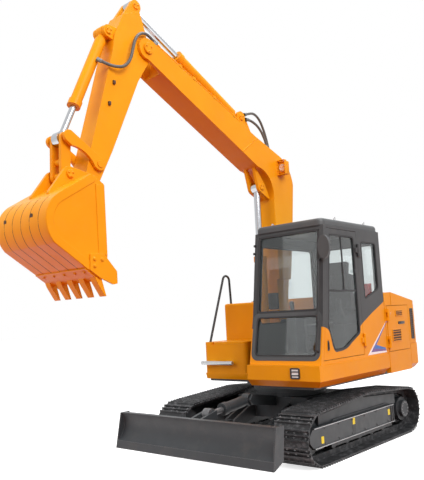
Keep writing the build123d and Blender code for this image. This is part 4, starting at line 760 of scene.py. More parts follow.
def front_x(height):
    """Front of the cab's outer face at a height."""
    low, high = (CAB_FOOT, CAB_KNEE) if height <= CAB_KNEE[1] else (CAB_KNEE, CAB_CROWN)
    return low[0] + (high[0] - low[0]) * (height - low[1]) / (high[1] - low[1])


def screen_ring(shape, pane, grow, round_by, width, proud):
    """Frame round a windscreen pane, from its glass out to just ahead of the cab's face."""
    low, high = pane[0] - grow, pane[1] + grow
    right, left = CAB_RIGHT + SCREEN_POST - grow, CAB_LEFT - SCREEN_POST + grow
    foot, crown = Vector((front_x(low), 0, low)), Vector((front_x(high), 0, high))
    run = (crown - foot).normalized()
    out = Vector((run.z, 0, -run.x))
    corners = [(front_x(z) - GLASS_SET_IN, y, z) for y, z in rectangle((right, low), (left, high))]
    add_plate(shape, corners, out, GLASS_SET_IN + proud, round_by, width)


UPPER_SCREEN = (1.618, 2.535)
LOWER_SCREEN = (1.120, 1.572)
DOOR_WINDOW = (
    (0.017, 1.33), (0.40, 1.165), (0.64, 1.165), (front_x(1.44) - 0.114, 1.44), (front_x(2.488) - 0.114, 2.488),
    (0.017, 2.488),
)
QUARTER_WINDOW = ((-0.150, 1.72), (-0.150, 2.44), (-0.545, 2.44), (-0.545, 1.85))
SIDE_WINDOW = ((-0.545, 1.48), (front_x(1.48) - 0.11, 1.48), (front_x(2.44) - 0.11, 2.44), (-0.545, 2.44))
REAR_WINDOW = rectangle((0.188, 1.80), (0.972, 2.44))
REAR_GLASS = -0.636


def make_window_seals():
    seals, screen_frame, door_seal = (bmesh.new() for _ in range(3))
    screen_ring(seals, UPPER_SCREEN, grow=0.006, round_by=0.06, width=0.026, proud=0.004)
    screen_ring(seals, LOWER_SCREEN, grow=-0.002, round_by=0.06, width=0.016, proud=0.006)
    screen_ring(screen_frame, LOWER_SCREEN, grow=0.046, round_by=0.085, width=0.050, proud=0.003)
    left, right = CAB_LEFT - GLASS_SET_IN, CAB_RIGHT + GLASS_SET_IN
    add_plate(seals, side_points(QUARTER_WINDOW, left), LEFT, SEAL_THICK, round_by=0.05, width=0.018)
    add_plate(seals, side_points(SIDE_WINDOW, right), RIGHT, SEAL_THICK, round_by=0.06, width=0.018)
    add_plate(seals, front_points(REAR_WINDOW, REAR_GLASS), -FORWARD, SEAL_THICK, round_by=0.04, width=0.020)
    add_plate(door_seal, side_points(DOOR_WINDOW, left), LEFT, SEAL_THICK, round_by=0.05, width=0.020)
    settle("window_seals", seals, "seal_rubber", "upper")
    settle("lower_screen_frame", screen_frame, "cab_grey_paint", "upper")
    settle("door_seal", door_seal, "seal_rubber", "cab_door")


WINDOW_BARS = (
    ((0.030, 1.040, 1.822), (front_x(1.835) - 0.120, 1.056, 1.848)),
    ((0.298, 1.040, 1.848), (0.322, 1.056, 2.480)),
)
WINDOW_LATCH = ((0.040, 1.050, 2.045), (0.075, 1.078, 2.085))
HANDLE_SURROUND = ((0.735, 1.150), (0.815, 1.150), (0.800, 1.310), (0.742, 1.310))
HANDLE_CUP = ((0.752, 1.175), (0.800, 1.175), (0.790, 1.288), (0.757, 1.288))
HANDLE_PULL = ((0.764, 1.058, 1.190), (0.784, 1.078, 1.272))


def make_door_fittings():
    """Window bars with a latch block, and the pull handle in its surround, all on the door."""
    bars, handle, surround = (bmesh.new() for _ in range(3))
    for low, high in WINDOW_BARS:
        add_box(bars, low, high, bevel=0.004)
    add_box(bars, *WINDOW_LATCH, bevel=0.006)
    rim = side_points(HANDLE_SURROUND, CAB_LEFT - 0.002)
    add_plate(surround, rim, LEFT, thick=0.006, round_by=0.026, width=0.012)
    add_plate(handle, side_points(HANDLE_CUP, CAB_LEFT - 0.001), LEFT, thick=0.004, round_by=0.018)
    add_box(handle, *HANDLE_PULL, bevel=0.008)
    settle("door_bars", bars, "black_plastic", "cab_door")
    settle("door_handle_surround", surround, "orange_paint", "cab_door")
    settle("door_handle", handle, "black_plastic", "cab_door")


DRIP_RAIL = rectangle((-0.660, 0.102), (0.702, 1.058))
DRIP_RAIL_HEIGHT = 2.574
ROOF_EYES = ((0.24, 0.95), (-0.49, 0.95), (0.47, 0.21), (-0.49, 0.21))
EYE_FOOT, EYE_NECK, EYE_MIDDLE = 2.660, 2.682, 2.700
EYE_RADIUS, EYE_WIRE = 0.018, 0.006
FRONT_KNOBS = ((0.110, 2.44), (0.106, 2.344))
REAR_KNOBS = (2.50, 1.79)
GRAB_ACROSS = 1.022
# Grab rail: height at which the cab's face is taken, distance ahead of it, and height of the point
GRAB_RAIL = (
    (2.19, -0.01, 2.19), (2.19, 0.046, 2.17), (1.595, 0.046, 1.595), (1.20, 0.046, 1.20), (1.165, -0.01, 1.165),
)


def make_cab_fittings():
    """Drip rail, roof eyes, knobs on the posts, and the grab rail beside the windscreen."""
    trim, eyes, rails = (bmesh.new() for _ in range(3))
    rim = [(x, y, DRIP_RAIL_HEIGHT) for x, y in DRIP_RAIL]
    add_plate(trim, rim, UP, thick=0.016, round_by=0.07, width=0.030)
    for x, y in ROOF_EYES:
        add_bar(eyes, (x, y, EYE_FOOT), (x, y, EYE_NECK), radius=0.017, segments=12, end_radius=0.010)
        wire = facing(place(x + EYE_RADIUS, y, EYE_MIDDLE), UP)
        made = bmesh.ops.create_circle(eyes, segments=10, radius=EYE_WIRE, matrix=wire)["verts"]
        bmesh.ops.spin(
            eyes,
            geom=made + edges_of(made),
            cent=place(x, y, EYE_MIDDLE),
            axis=LEFT,
            angle=2 * math.pi,
            steps=20,
            use_merge=True,
        )
    for y, z in FRONT_KNOBS:
        x = front_x(z) + 0.004
        add_bar(rails, (x - 0.02, y, z), (x + 0.012, y - 0.012, z), radius=0.012, segments=14, end_radius=0.016)
    for z in REAR_KNOBS:
        add_bar(rails, (-0.645, 1.02, z), (-0.668, 1.03, z), radius=0.012, segments=14, end_radius=0.018)
    grab = [(front_x(level) + ahead, GRAB_ACROSS, z) for level, ahead, z in GRAB_RAIL]
    add_rod_path(rails, grab, radius=0.012)
    settle("roof_drip_rail", trim, "seal_rubber", "upper")
    settle("roof_eyes", eyes, "galvanised_steel", "upper")
    settle("cab_rails", rails, "black_paint", "upper")


make_window_seals()
make_door_fittings()
make_cab_fittings()


# Seat: pads over a boxed suspension, which together stand for the plain seat solid
SEAT_Y = 0.58
PAD_CUTS = 15
SIDE_PULL, END_PULL = 0.05, 0.04
PAD_SEAM_DEPTH, PAD_SEAM_WIDTH = 0.012, 0.07
FOLD_COUNT, FOLD_LOW, FOLD_HEIGHT, FOLD_INSET = 6, 1.12, 0.03, 0.014
ARMRESTS = 0.275


def make_pad(name, matrix, size, crown, seams):
    """Stuffed pad: a crowned form whose sides pull in between its corners, with sewn channels."""
    shape = bmesh.new()
    bmesh.ops.create_cube(shape, size=1, matrix=Matrix.Diagonal((*size, 1)))
    bmesh.ops.subdivide_edges(shape, edges=shape.edges[:], cuts=PAD_CUTS, use_grid_fill=True)
    for vert in shape.verts:
        across, along, deep = (2 * part / whole for part, whole in zip(vert.co, size))
        vert.co.x *= 1 - SIDE_PULL * (1 - along * along)
        vert.co.y *= 1 - END_PULL * (1 - across * across)
        if deep > 0:
            vert.co.z += crown * (1 - across * across) * (1 - along * along)
            for seam in seams:
                vert.co.z -= PAD_SEAM_DEPTH * math.exp(-(((along - seam) / PAD_SEAM_WIDTH) ** 2))
    for _ in range(3):
        bmesh.ops.smooth_vert(
            shape, verts=shape.verts[:], factor=0.5, use_axis_x=True, use_axis_y=True, use_axis_z=True
        )
    bmesh.ops.transform(shape, matrix=matrix, verts=shape.verts[:])
    pad = settle(name, shape, "seat_fabric", "upper", smooth=180)
    soften = pad.modifiers.new("soften", "SUBSURF")
    soften.levels = soften.render_levels = 1


def leaning(low, high):
    """Matrix for a pad on a leaning back, its length from low to high and its face forwards."""
    low, high = place(*low), place(*high)
    along = (high - low).normalized()
    turn = Matrix((LEFT, along, LEFT.cross(along))).transposed().to_4x4()
    return Matrix.Translation((low + high) / 2) @ turn


def add_seat_block(shape, ends, heights, half, bevel, across=0.0):
    """Block from its ends along X, its heights, and half its width about a place beside the seat's middle."""
    y = SEAT_Y + across
    add_box(shape, (ends[0], y - half, heights[0]), (ends[1], y + half, heights[1]), bevel)


def make_seat():
    flat = Matrix.Translation(place(-0.09, SEAT_Y, 1.395)) @ Matrix.Rotation(math.pi / 2, 4, "Z")
    back = leaning((-0.285, SEAT_Y, 1.455), (-0.375, SEAT_Y, 2.045))
    rest = leaning((-0.378, SEAT_Y, 2.035), (-0.408, SEAT_Y, 2.215))
    make_pad("seat_cushion", flat, size=(0.47, 0.49, 0.115), crown=0.022, seams=(-0.35, 0.1, 0.5))
    make_pad("seat_back", back, size=(0.45, 0.64, 0.098), crown=0.018, seams=(-0.5, -0.1, 0.3))
    make_pad("headrest", rest, size=(0.30, 0.21, 0.075), crown=0.010, seams=())
    base = bmesh.new()
    add_seat_block(base, (-0.33, 0.12), (1.07, 1.12), half=0.20, bevel=0.006)
    for fold in range(FOLD_COUNT):
        inset = FOLD_INSET * (fold % 2)
        low = FOLD_LOW + FOLD_HEIGHT * fold
        add_seat_block(base, (-0.31 + inset, 0.10 - inset), (low, low + 0.031), half=0.18 - inset, bevel=0.006)
    add_seat_block(base, (-0.33, 0.13), (1.30, 1.335), half=0.22, bevel=0.008)
    for side in SIDES:
        add_seat_block(base, (-0.33, -0.02), (1.60, 1.64), half=0.03, bevel=0.012, across=side * ARMRESTS)
    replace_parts(settle("seat_suspension", base, "black_plastic", "upper"), "seat")


LEVERS = 0.33
LEVER_X = 0.21
BOOT_LOW, BOOT_STEP, BOOT_RADIUS, BOOT_TAPER = 1.55, 0.022, 0.052, 0.007
TRAVEL_LEVERS = (0.07, -0.07)
TRAVEL_X, TRAVEL_HEIGHTS = 0.56, (1.50, 1.58)
DISPLAY = ((0.56, 0.165, 1.66), (0.60, 0.30, 1.86))


def make_levers():
    """Grips and boots on the levers, knobs on the travel levers, and a display beside the front post."""
    levers = bmesh.new()
    for side in SIDES:
        y = SEAT_Y + side * LEVERS
        for fold in range(4):
            low = BOOT_LOW + BOOT_STEP * fold
            radius = BOOT_RADIUS - BOOT_TAPER * fold
            add_bar(levers, (LEVER_X, y, low), (LEVER_X, y, low + BOOT_STEP), radius, segments=20)
        add_bar(levers, (LEVER_X, y, 1.66), (0.225, y, 1.735), radius=0.026, segments=16, end_radius=0.032)
        add_bar(levers, (0.225, y, 1.735), (0.228, y, 1.752), radius=0.032, segments=16, end_radius=0.018)
    for across in TRAVEL_LEVERS:
        foot, top = ((TRAVEL_X, SEAT_Y + across, z) for z in TRAVEL_HEIGHTS)
        add_bar(levers, foot, top, radius=0.018, segments=14, end_radius=0.022)
    add_box(levers, *DISPLAY, bevel=0.010)
    settle("lever_grips", levers, "black_plastic", "upper")


make_seat()
make_levers()


# Where a solid's skin lies, so that small pieces seat on it
OUTSIDE = 1.6


def skin(node, where, along):
    """Point where a line first meets a solid, or None, both from the slew axis."""
    target = nodes[node]
    turn = target.matrix_world
    tree = BVHTree.FromPolygons(
        [turn @ vert.co for vert in target.data.vertices], [face.vertices for face in target.data.polygons]
    )
    spot = tree.ray_cast(place(*where), Vector(along))[0]
    return None if spot is None else spot - place(0, 0, 0)


# Front attachment: pin caps, pipes with clamps, lamp, hose ends, welds, clips and bucket details.
# Pins: solid that the cap sits on, its body, place and height of the pin, and radius of the cap
PINS = (
    ("boom", "boom", 2.338, 4.497, 0.062), ("boom", "boom", 0.690, 4.110, 0.044),
    ("boom", "boom", 0.336, 3.255, 0.050), ("arm", "arm", 2.430, 4.970, 0.042),
    ("arm", "arm", 2.818, 4.565, 0.042), ("bucket", "bucket", 3.114, 2.929, 0.046),
    ("bucket", "bucket", 3.390, 2.975, 0.042), ("main_frame", "upper", 0.085, 1.430, 0.062),
    ("main_frame", "upper", 0.359, 1.020, 0.050),
)
CAP_SINK, CAP_STANDS, CAP_SLOPE = 0.006, 0.010, 0.003
# Shares of the cap's radius: where the skin is looked for beside the pin, and the circle of bolts
CAP_EDGE, CAP_BOLT_CIRCLE = 0.85, 0.6
CAP_BOLT_TURNS = (0.5, 2.6, 4.7)


def make_pin_caps():
    """Round keeper plates with bolts over the pins, on each outer face that the pin passes."""
    for number, (node, body, x, z, radius) in enumerate(PINS):
        caps = bmesh.new()
        for side in SIDES:
            places = (x, x + radius * CAP_EDGE)
            hits = [skin(node, (spot, side * OUTSIDE, z), -LEFT * side) for spot in places]
            faces = [hit.y for hit in hits if hit is not None]
            if not faces:
                continue
            face = side * max(side * y for y in faces)
            top = face + side * CAP_STANDS
            foot = face - side * CAP_SINK
            add_bar(caps, (x, foot, z), (x, top, z), radius, segments=32, end_radius=radius - CAP_SLOPE)
            for turn in CAP_BOLT_TURNS:
                ahead, up = (CAP_BOLT_CIRCLE * radius * part for part in (math.cos(turn), math.sin(turn)))
                add_bolt(caps, (x + ahead, top, z + up), LEFT * side, size=0.009)
        settle(f"pin_caps_{number + 1}", caps, "orange_paint", body)


BOOM_TOP = ((0.493, 3.882), (1.523, 4.303), (2.290, 4.612))
BOOM_SLOPE = 0.405
# Pipes: place across and front end of each
PIPES = ((0.030, 2.190), (0.002, 1.860), (-0.212, 1.860), (-0.240, 2.190))
PIPE_RADIUS = 0.011
PIPE_STANDS = 0.020
PIPE_FOOT, PIPE_START = 0.76, 0.80
PIPE_NUT, PIPE_NUT_RADIUS = 0.045, 0.016
PIPE_CLAMPS = (0.92, 1.27, 1.62, 1.84)
CLAMP_SPANS = ((-0.016, 0.045), (-0.256, -0.196))
CLAMP_HALF, CLAMP_SINK, CLAMP_HEIGHT = 0.022, 0.006, 0.036


def boom_top(x):
    """Height of the boom's top plate."""
    low, high = BOOM_TOP[:2] if x <= BOOM_TOP[1][0] else BOOM_TOP[1:]
    return low[1] + (high[1] - low[1]) * (x - low[0]) / (high[0] - low[0])


def make_boom_pipes():
    pipes, clamps = bmesh.new(), bmesh.new()
    for y, end in PIPES:
        nut, bend = end - PIPE_NUT, BOOM_TOP[1][0]
        run = [(x, y, boom_top(x) + PIPE_STANDS) for x in (PIPE_START, bend, end)]
        add_rod_path(pipes, [(PIPE_FOOT, y, boom_top(PIPE_FOOT) - 0.01), *run], PIPE_RADIUS)
        add_bar(pipes, (nut, y, boom_top(nut) + PIPE_STANDS), run[-1], PIPE_NUT_RADIUS, segments=6)
    tilt = Vector((1.0, BOOM_SLOPE)).normalized()
    rise = Vector((-tilt.y, tilt.x))
    outline = rectangle((-CLAMP_HALF, -CLAMP_SINK), (CLAMP_HALF, CLAMP_HEIGHT))
    for x in PIPE_CLAMPS:
        foot = Vector((x, boom_top(x)))
        top = foot + rise * CLAMP_HEIGHT
        corners = [foot + tilt * ahead + rise * up for ahead, up in outline]
        for low, high in CLAMP_SPANS:
            add_plate(clamps, side_points(corners, low), LEFT, high - low, round_by=0.006)
            add_bolt(clamps, (top.x, (low + high) / 2, top.y), Vector((rise.x, 0, rise.y)), size=0.009)
    settle("boom_pipes", pipes, "orange_paint", "boom")
    settle("boom_pipe_clamps", clamps, "orange_paint", "boom")


LAMP_CASE = ((-0.06, 0.043, 3.44), (0.020, 0.165, 3.62))
LAMP_HOOD = rectangle((0.043, 3.430), (0.175, 3.630))
LAMP_HOOD_BASE, LAMP_HOOD_DEEP = 0.018, 0.042
LAMP_BARS = (3.485, 3.530, 3.575)
LAMP_BAR_X = 0.056
LAMP_MIDDLE = (0.107, 3.53)
# Back of the bowl, rim and front of the lens
LAMP_DEPTHS = (0.016, 0.026, 0.034)


def make_boom_lamp():
    guard, lens, bowl = (bmesh.new() for _ in range(3))
    add_box(guard, *LAMP_CASE, bevel=0.010)
    hood = front_points(LAMP_HOOD, LAMP_HOOD_BASE)
    add_plate(guard, hood, FORWARD, LAMP_HOOD_DEEP, round_by=0.012, width=0.009)
    for z in LAMP_BARS:
        add_bar(guard, (LAMP_BAR_X, 0.048, z), (LAMP_BAR_X, 0.170, z), radius=0.004, segments=10)
    back, rim, front = ((x, *LAMP_MIDDLE) for x in LAMP_DEPTHS)
    add_bar(bowl, back, rim, radius=0.052, segments=32)
    add_bar(lens, rim, front, radius=0.048, segments=32, end_radius=0.040)
    settle("boom_lamp_guard", guard, "orange_paint", "boom")
    settle("boom_lamp_bowl", bowl, "lamp_reflector", "boom")
    settle("boom_lamp_lens", lens, "lamp_lens", "boom")


FITTING_LENGTH = 0.055
FITTING_RADIUS = 0.021
# The fitting's nut, in shares of the fitting
NUT_LENGTH, NUT_RADIUS = 0.4, 1.2


def make_hose_ends():
    """Crimped fittings over both ends of each hose."""
    for name, route, first, last in (
        ("arm_hose", ARM_HOSE, "boom", "arm"),
        ("boom_hose_upper", UPPER_BOOM_HOSE, "boom", "boom"),
        ("boom_hose_lower", LOWER_BOOM_HOSE, "boom", "boom"),
    ):
        for tip, points, body in (("near", route[:2], first), ("far", route[:-3:-1], last)):
            shape = bmesh.new()
            start, after = (Vector(point) / 1000 for point in points)
            run = (after - start).normalized() * FITTING_LENGTH
            add_bar(shape, start, start + run, FITTING_RADIUS, segments=16)
            add_bar(shape, start, start + run * NUT_LENGTH, FITTING_RADIUS * NUT_RADIUS, segments=6)
            settle(f"{name}_{tip}_fitting", shape, "bolt_steel", body)


BOOM_FACES = (0.045, -0.255)
BOOM_WELD = ((0.774, 3.642), (0.463, 3.867))
ARM_CLIPS = ((2.800, 4.010), (2.868, 3.775))


def make_welds_and_clips():
    welds, clips = bmesh.new(), bmesh.new()
    for y in BOOM_FACES:
        add_bar(welds, *side_points(BOOM_WELD, y), radius=0.005, segments=10)
    for x, z in ARM_CLIPS:
        add_box(clips, (x - 0.014, 0.004, z - 0.020), (x + 0.014, 0.030, z + 0.020), bevel=0.004)
    settle("boom_welds", welds, "orange_paint", "boom")
    settle("arm_clips", clips, "vent_dark", "arm")


BUCKET_OUTLINE = ((3.330, 2.940), (3.697, 2.716), (3.818, 2.480), (3.738, 2.290), (3.262, 1.985))
BUCKET_STEPS = 14
BUCKET_SIDES = ((1, 0.285), (-1, -0.495))
BUCKET_LIP = 0.19
BUCKET_LIP_THICK = 0.010
BUCKET_LIP_RIGHT, BUCKET_LIP_WIDTH = -0.490, 0.770
LIP_BOLTS = (-0.40, -0.24, -0.08, 0.08, 0.22)
LIP_BOLT_ROW = 0.145
CUTTER = (
    (3.379, 2.211), (3.229, 2.218), (3.083, 2.063), (3.081, 1.952), (3.127, 1.943), (3.282, 2.004),
    (3.384, 2.067),
)
CUTTER_BOLTS = ((3.335, 2.165), (3.335, 2.105), (3.250, 2.165))
CUTTER_SINK, CUTTER_STANDS = 0.004, 0.016
FRONT_BAND = ((3.180, 2.21), (3.192, 2.85), (3.290, 2.85), (3.275, 2.21))
BAND_SINK, BAND_THICK = 0.003, 0.009
BAND_EDGES = (0.002, 0.075)
# Dark strips along the seams of the bucket's shell: painted shade
SHELL_SEAM_SHADES = (-0.370, -0.235, -0.100, 0.035, 0.170)
SHELL_SEAM_WIDTH = 0.005
SHELL_SEAM_SINK, SHELL_SEAM_STANDS = 0.002, 0.0012
# Dark sheets on the bucket's back: painted shade of two openings
SHELL_HOLES = (0.065, -0.36)
SHELL_HOLE_HEIGHT = 2.53
SHELL_HOLE_HALF = (0.022, 0.035)
SHELL_HOLE_THICK = 0.001


def square_to(start, end):
    """Direction square to a run in side view."""
    run = end - start
    return Vector((-run.y, run.x))


def bucket_line():
    """Points down the bucket's outer face in side view, each with its outward direction."""
    top, back, rear, heel, foot = (Vector(point) for point in BUCKET_OUTLINE)
    one, two = (back + rear) / 2, (rear + heel) / 2
    across_one, across_two = square_to(back, rear), square_to(rear, heel)
    share = (two - one).cross(across_two) / across_one.cross(across_two)
    middle = one + across_one * share
    radius = (rear - middle).length
    first, last = (math.atan2(*(point - middle).yx) for point in (back, heel))
    turns = [first + (last - first) * step / BUCKET_STEPS for step in range(BUCKET_STEPS + 1)]
    outward = [Vector((math.cos(turn), math.sin(turn))) for turn in turns]
    return [
        (top, square_to(top, back).normalized()),
        *((middle + radius * out, out) for out in outward),
        (foot, square_to(heel, foot).normalized()),
    ]


def make_lip_plate(line):
    """Wear plate under the bucket's front edge, with a row of bolts."""
    lip = bmesh.new()
    (heel, _), (foot, down) = line[-2:]
    run = (heel - foot).normalized()
    rear, thick = foot + run * BUCKET_LIP, down * BUCKET_LIP_THICK
    flat = [foot, rear, rear + thick, foot + thick]
    add_plate(lip, side_points(flat, BUCKET_LIP_RIGHT), LEFT, BUCKET_LIP_WIDTH)
    spot = foot + run * LIP_BOLT_ROW + thick
    for y in LIP_BOLTS:
        add_bolt(lip, (spot.x, y, spot.y), Vector((down.x, 0, down.y)), size=0.012)
    settle("bucket_lip_plate", lip, "orange_paint", "bucket")


def make_bucket_sides(line):
    """Bolted side cutters, and bands along the edges of both side plates."""
    cutters, bands = bmesh.new(), bmesh.new()
    near, far = BAND_EDGES
    for side, face in BUCKET_SIDES:
        out = LEFT * side
        cutter = side_points(CUTTER, face - side * CUTTER_SINK)
        add_plate(cutters, cutter, out, CUTTER_SINK + CUTTER_STANDS, round_by=0.008)
        for x, z in CUTTER_BOLTS:
            add_bolt(cutters, (x, face + side * CUTTER_STANDS, z), out, size=0.014)
        outlines = [FRONT_BAND]
        for (start, first), (end, last) in zip(line, line[1:]):
            outlines.append([start - first * near, end - last * near, end - last * far, start - first * far])
        for outline in outlines:
            add_plate(bands, side_points(outline, face - side * BAND_SINK), out, BAND_THICK)
    settle("side_cutters", cutters, "orange_paint", "bucket")
    settle("bucket_rim_strips", bands, "orange_paint", "bucket")


def make_bucket_slot_shades(line):
    """Dark strips painted as the shade in the seams round the bucket's shell, inside its outline, and dark
    sheets painted as the shade of two openings in its back.
    """
    slot_shades = bmesh.new()
    rearmost = BUCKET_OUTLINE[2][0]
    for y in SHELL_SEAM_SHADES:
        for (start, first), (end, last) in zip(line[1:-1], line[2:]):
            seam = [
                start - first * SHELL_SEAM_SINK, end - last * SHELL_SEAM_SINK,
                end + last * SHELL_SEAM_STANDS, start + first * SHELL_SEAM_STANDS,
            ]
            add_plate(slot_shades, [(min(x, rearmost), y, z) for x, z in seam], LEFT, SHELL_SEAM_WIDTH)
    for y in SHELL_HOLES:
        hit = skin("bucket", (4.6, y, SHELL_HOLE_HEIGHT), -FORWARD)
        hole = front_points(rectangle_round((y, hit.z), SHELL_HOLE_HALF), hit.x - SHELL_HOLE_THICK)
        add_plate(slot_shades, hole, FORWARD, SHELL_HOLE_THICK, round_by=0.016)
    settle("bucket_slot_shades", slot_shades, "vent_dark", "bucket")


make_pin_caps()
make_boom_pipes()
make_boom_lamp()
make_hose_ends()
make_welds_and_clips()
make_lip_plate(bucket_line())
make_bucket_sides(bucket_line())
make_bucket_slot_shades(bucket_line())


# Upper structure: generic stripe, vents, latches, lamp, sill, step, filler cap and mirror glass
STRIPE_TOP = (-0.835, 1.559)
STRIPE_ELBOWS = ((-0.123, 1.055), (-0.21, 1.085), (-0.29, 1.125), (-0.36, 1.165))
STRIPE_ENDS = ((-0.629, 1.058), (-0.622, 1.078), (-0.612, 1.096), (-0.597, 1.116))
STRIPE_COLOURS = ("white", "purple", "blue")
# Panels that the stripe crosses: side, body, place of the face and span along X
STRIPE_PANELS = (
    (1, "upper", 1.062, (-0.648, 0.0)),
    (1, "upper", 1.064, (-0.696, -0.660)),
    (1, "service_door_left", 1.070, (-0.90, -0.702)),
    (-1, "upper", 1.066, (-0.600, -0.05)),
    (-1, "upper", 1.064, (-0.696, -0.660)),
    (-1, "service_door_right", 1.070, (-0.90, -0.702)),
)
STRIPE_SINK, STRIPE_THICK = 0.0005, 0.0015


def make_stripe():
    """Swept stripe in three colours, cut where one panel ends and the next begins."""
    for side, body, face, span in STRIPE_PANELS:
        for band, colour in enumerate(STRIPE_COLOURS):
            shape = bmesh.new()
            inner, outer = STRIPE_ELBOWS[band:band + 2]
            end, next_end = STRIPE_ENDS[band:band + 2]
            for corners in ((STRIPE_TOP, inner, outer), (inner, end, next_end, outer)):
                outline = side_points(corners, side * (face - STRIPE_SINK))
                add_plate(shape, outline, LEFT * side, STRIPE_THICK, between=span)
            name = f"stripe_{SIDE_NAMES[side]}_{colour}_{body}_{face}"
            settle(name, shape, "stripe_" + colour, body)


# Vents: lowest and highest corner in side view
UPPER_VENT = ((-1.155, 1.494), (-0.943, 1.578))
LOWER_VENT = ((-1.075, 1.172), (-0.812, 1.334))
CORNER_VENT = ((-1.475, 1.18), (-1.385, 1.59))
VENT_SINK = 0.001
SLAT_PITCH, SLAT_HALF, SLAT_STANDS, SLAT_INSET = 0.030, 0.004, 0.007, 0.006
LATCH_ENDS, LATCH_HEIGHTS, LATCH_FACES = (-1.19, -1.005), (1.392, 1.428), (1.066, 1.080)


def make_vent(name, node, body, finish, side, low, high):
    """Dark sheet painted as the shade in the opening, with a frame and slats, seated on a solid's skin."""
    out = LEFT * side
    (x_low, z_low), (x_high, z_high) = low, high
    face = abs(skin(node, ((x_low + x_high) / 2, side * OUTSIDE, (z_low + z_high) / 2), -out).y)
    dark, slats = bmesh.new(), bmesh.new()
    outline = side_points(rectangle(low, high), side * (face - VENT_SINK))
    # Dark sheet across the vent: painted shade of the opening behind the slats
    add_plate(dark, outline, out, thick=0.002, round_by=0.012)
    add_plate(slats, outline, out, thick=0.008, round_by=0.014, width=0.012)
    first, last = reach(side, face - VENT_SINK, face + SLAT_STANDS)
    count = max(2, round((z_high - z_low) / SLAT_PITCH))
    for step in range(1, count):
        z = z_low + (z_high - z_low) * step / count
        near, far = (x_low + SLAT_INSET, first, z - SLAT_HALF), (x_high - SLAT_INSET, last, z + SLAT_HALF)
        add_box(slats, near, far, bevel=0.002)
    settle(name + "_dark", dark, "vent_dark", body)
    settle(name, slats, finish, body)


def make_vents_and_latches():
    """Louvres in the service doors and rear corners, and the doors' pull latches."""
    for side, tag in SIDE_NAMES.items():
        door = "service_door_" + tag
        make_vent("vent_upper_" + tag, door, door, "orange_paint", side, *UPPER_VENT)
        make_vent("vent_lower_" + tag, door, door, "orange_paint", side, *LOWER_VENT)
        make_vent("vent_corner_" + tag, "engine_housing", "upper", "charcoal_paint", side, *CORNER_VENT)
        latch = bmesh.new()
        low, high = zip(LATCH_ENDS, reach(side, *LATCH_FACES), LATCH_HEIGHTS)
        add_box(latch, low, high, bevel=0.006)
        settle("door_latch_" + tag, latch, "black_paint", door)


SKIRT_LAMP = rectangle((0.70, 0.888), (0.82, 1.006))
SKIRT_LAMP_MIDDLE = (0.76, 0.947)
SKIRT_LAMP_SLATS = (0.925, 0.965)
SKIRT_LAMP_SINK = 0.002


def make_skirt_lamp():
    """Slatted lamp in the cab's skirt."""
    lamp, lens = bmesh.new(), bmesh.new()
    face = skin("cab_base", (2.0, *SKIRT_LAMP_MIDDLE), -FORWARD).x
    base = face - SKIRT_LAMP_SINK
    outline = front_points(SKIRT_LAMP, base)
    add_plate(lamp, outline, FORWARD, thick=0.016, round_by=0.014, width=0.014)
    add_plate(lens, outline, FORWARD, thick=0.007, round_by=0.014)
    for z in SKIRT_LAMP_SLATS:
        add_box(lamp, (base, 0.705, z - 0.006), (face + 0.014, 0.815, z + 0.006), bevel=0.002)
    settle("skirt_lamp_frame", lamp, "black_plastic", "upper")
    settle("skirt_lamp_lens", lens, "lamp_lens", "upper")


SILL = ((-0.60, 0.865), (0.4535, 0.865), (0.4535, 0.845), (0.436, 0.785), (-0.60, 0.785))
SILL_RIGHT, SILL_WIDTH = -1.046, 0.701
STEP_X, STEP_HEIGHT, STEP_RADIUS = 0.520, 1.000, 0.026
STEP_ENDS = (-1.050, -0.52)
STEP_BRACKETS = (-0.90, -0.62)
# Filler cap: foot, shoulder and top of its two steps
CAP_PLACE = (-0.36, -0.74)
CAP_HEIGHTS = (1.770, 1.812, 1.822)
MIRROR_LOW, MIRROR_HIGH = (-0.055, -0.11), (0.05, 0.11)


def make_sill_and_step():
    """Orange sill under the toolbox, over the dark frame, and the round step ahead of it."""
    sill, step = bmesh.new(), bmesh.new()
    add_plate(sill, side_points(SILL, SILL_RIGHT), LEFT, SILL_WIDTH)
    add_bar(step, *((STEP_X, y, STEP_HEIGHT) for y in STEP_ENDS), STEP_RADIUS, segments=24)
    for y in STEP_BRACKETS:
        add_box(step, (0.445, y - 0.05, 0.975), (0.535, y + 0.05, 1.022), bevel=0.008)
    settle("toolbox_sill", sill, "orange_paint", "upper")
    settle("side_step", step, "galvanised_steel", "upper")


def make_filler_cap():
    cap = bmesh.new()
    foot, shoulder, top = ((*CAP_PLACE, height) for height in CAP_HEIGHTS)
    add_bar(cap, foot, shoulder, radius=0.052, segments=32, end_radius=0.048)
    add_bar(cap, shoulder, top, radius=0.046, segments=32, end_radius=0.040)
    settle("filler_cap", cap, "black_plastic", "upper")


def make_mirror_glass():
    """Glass on the mirror's rear face."""
    glass_plate = bmesh.new()
    hit = skin("mirror", (0.3, 1.115, 2.32), FORWARD)
    low, high = ((hit.y + across, hit.z + up) for across, up in (MIRROR_LOW, MIRROR_HIGH))
    outline = front_points(rectangle(low, high), hit.x + 0.002)
    add_plate(glass_plate, outline, -FORWARD, thick=0.006, round_by=0.02)
    settle("mirror_glass", glass_plate, "mirror_glass", "upper")


make_stripe()
make_vents_and_latches()
make_skirt_lamp()
make_sill_and_step()
make_filler_cap()
make_mirror_glass()


# Floor, backdrop and light
FLOOR_SIZE = 60
FLOOR_BOUNCE = (0.42, 0.085, 0.04)
FLOOR_SEEN = 0.70
FLOOR_TONE = 0.72
SKY_STRENGTH = 0.45
WHITE = (1, 1, 1, 1)


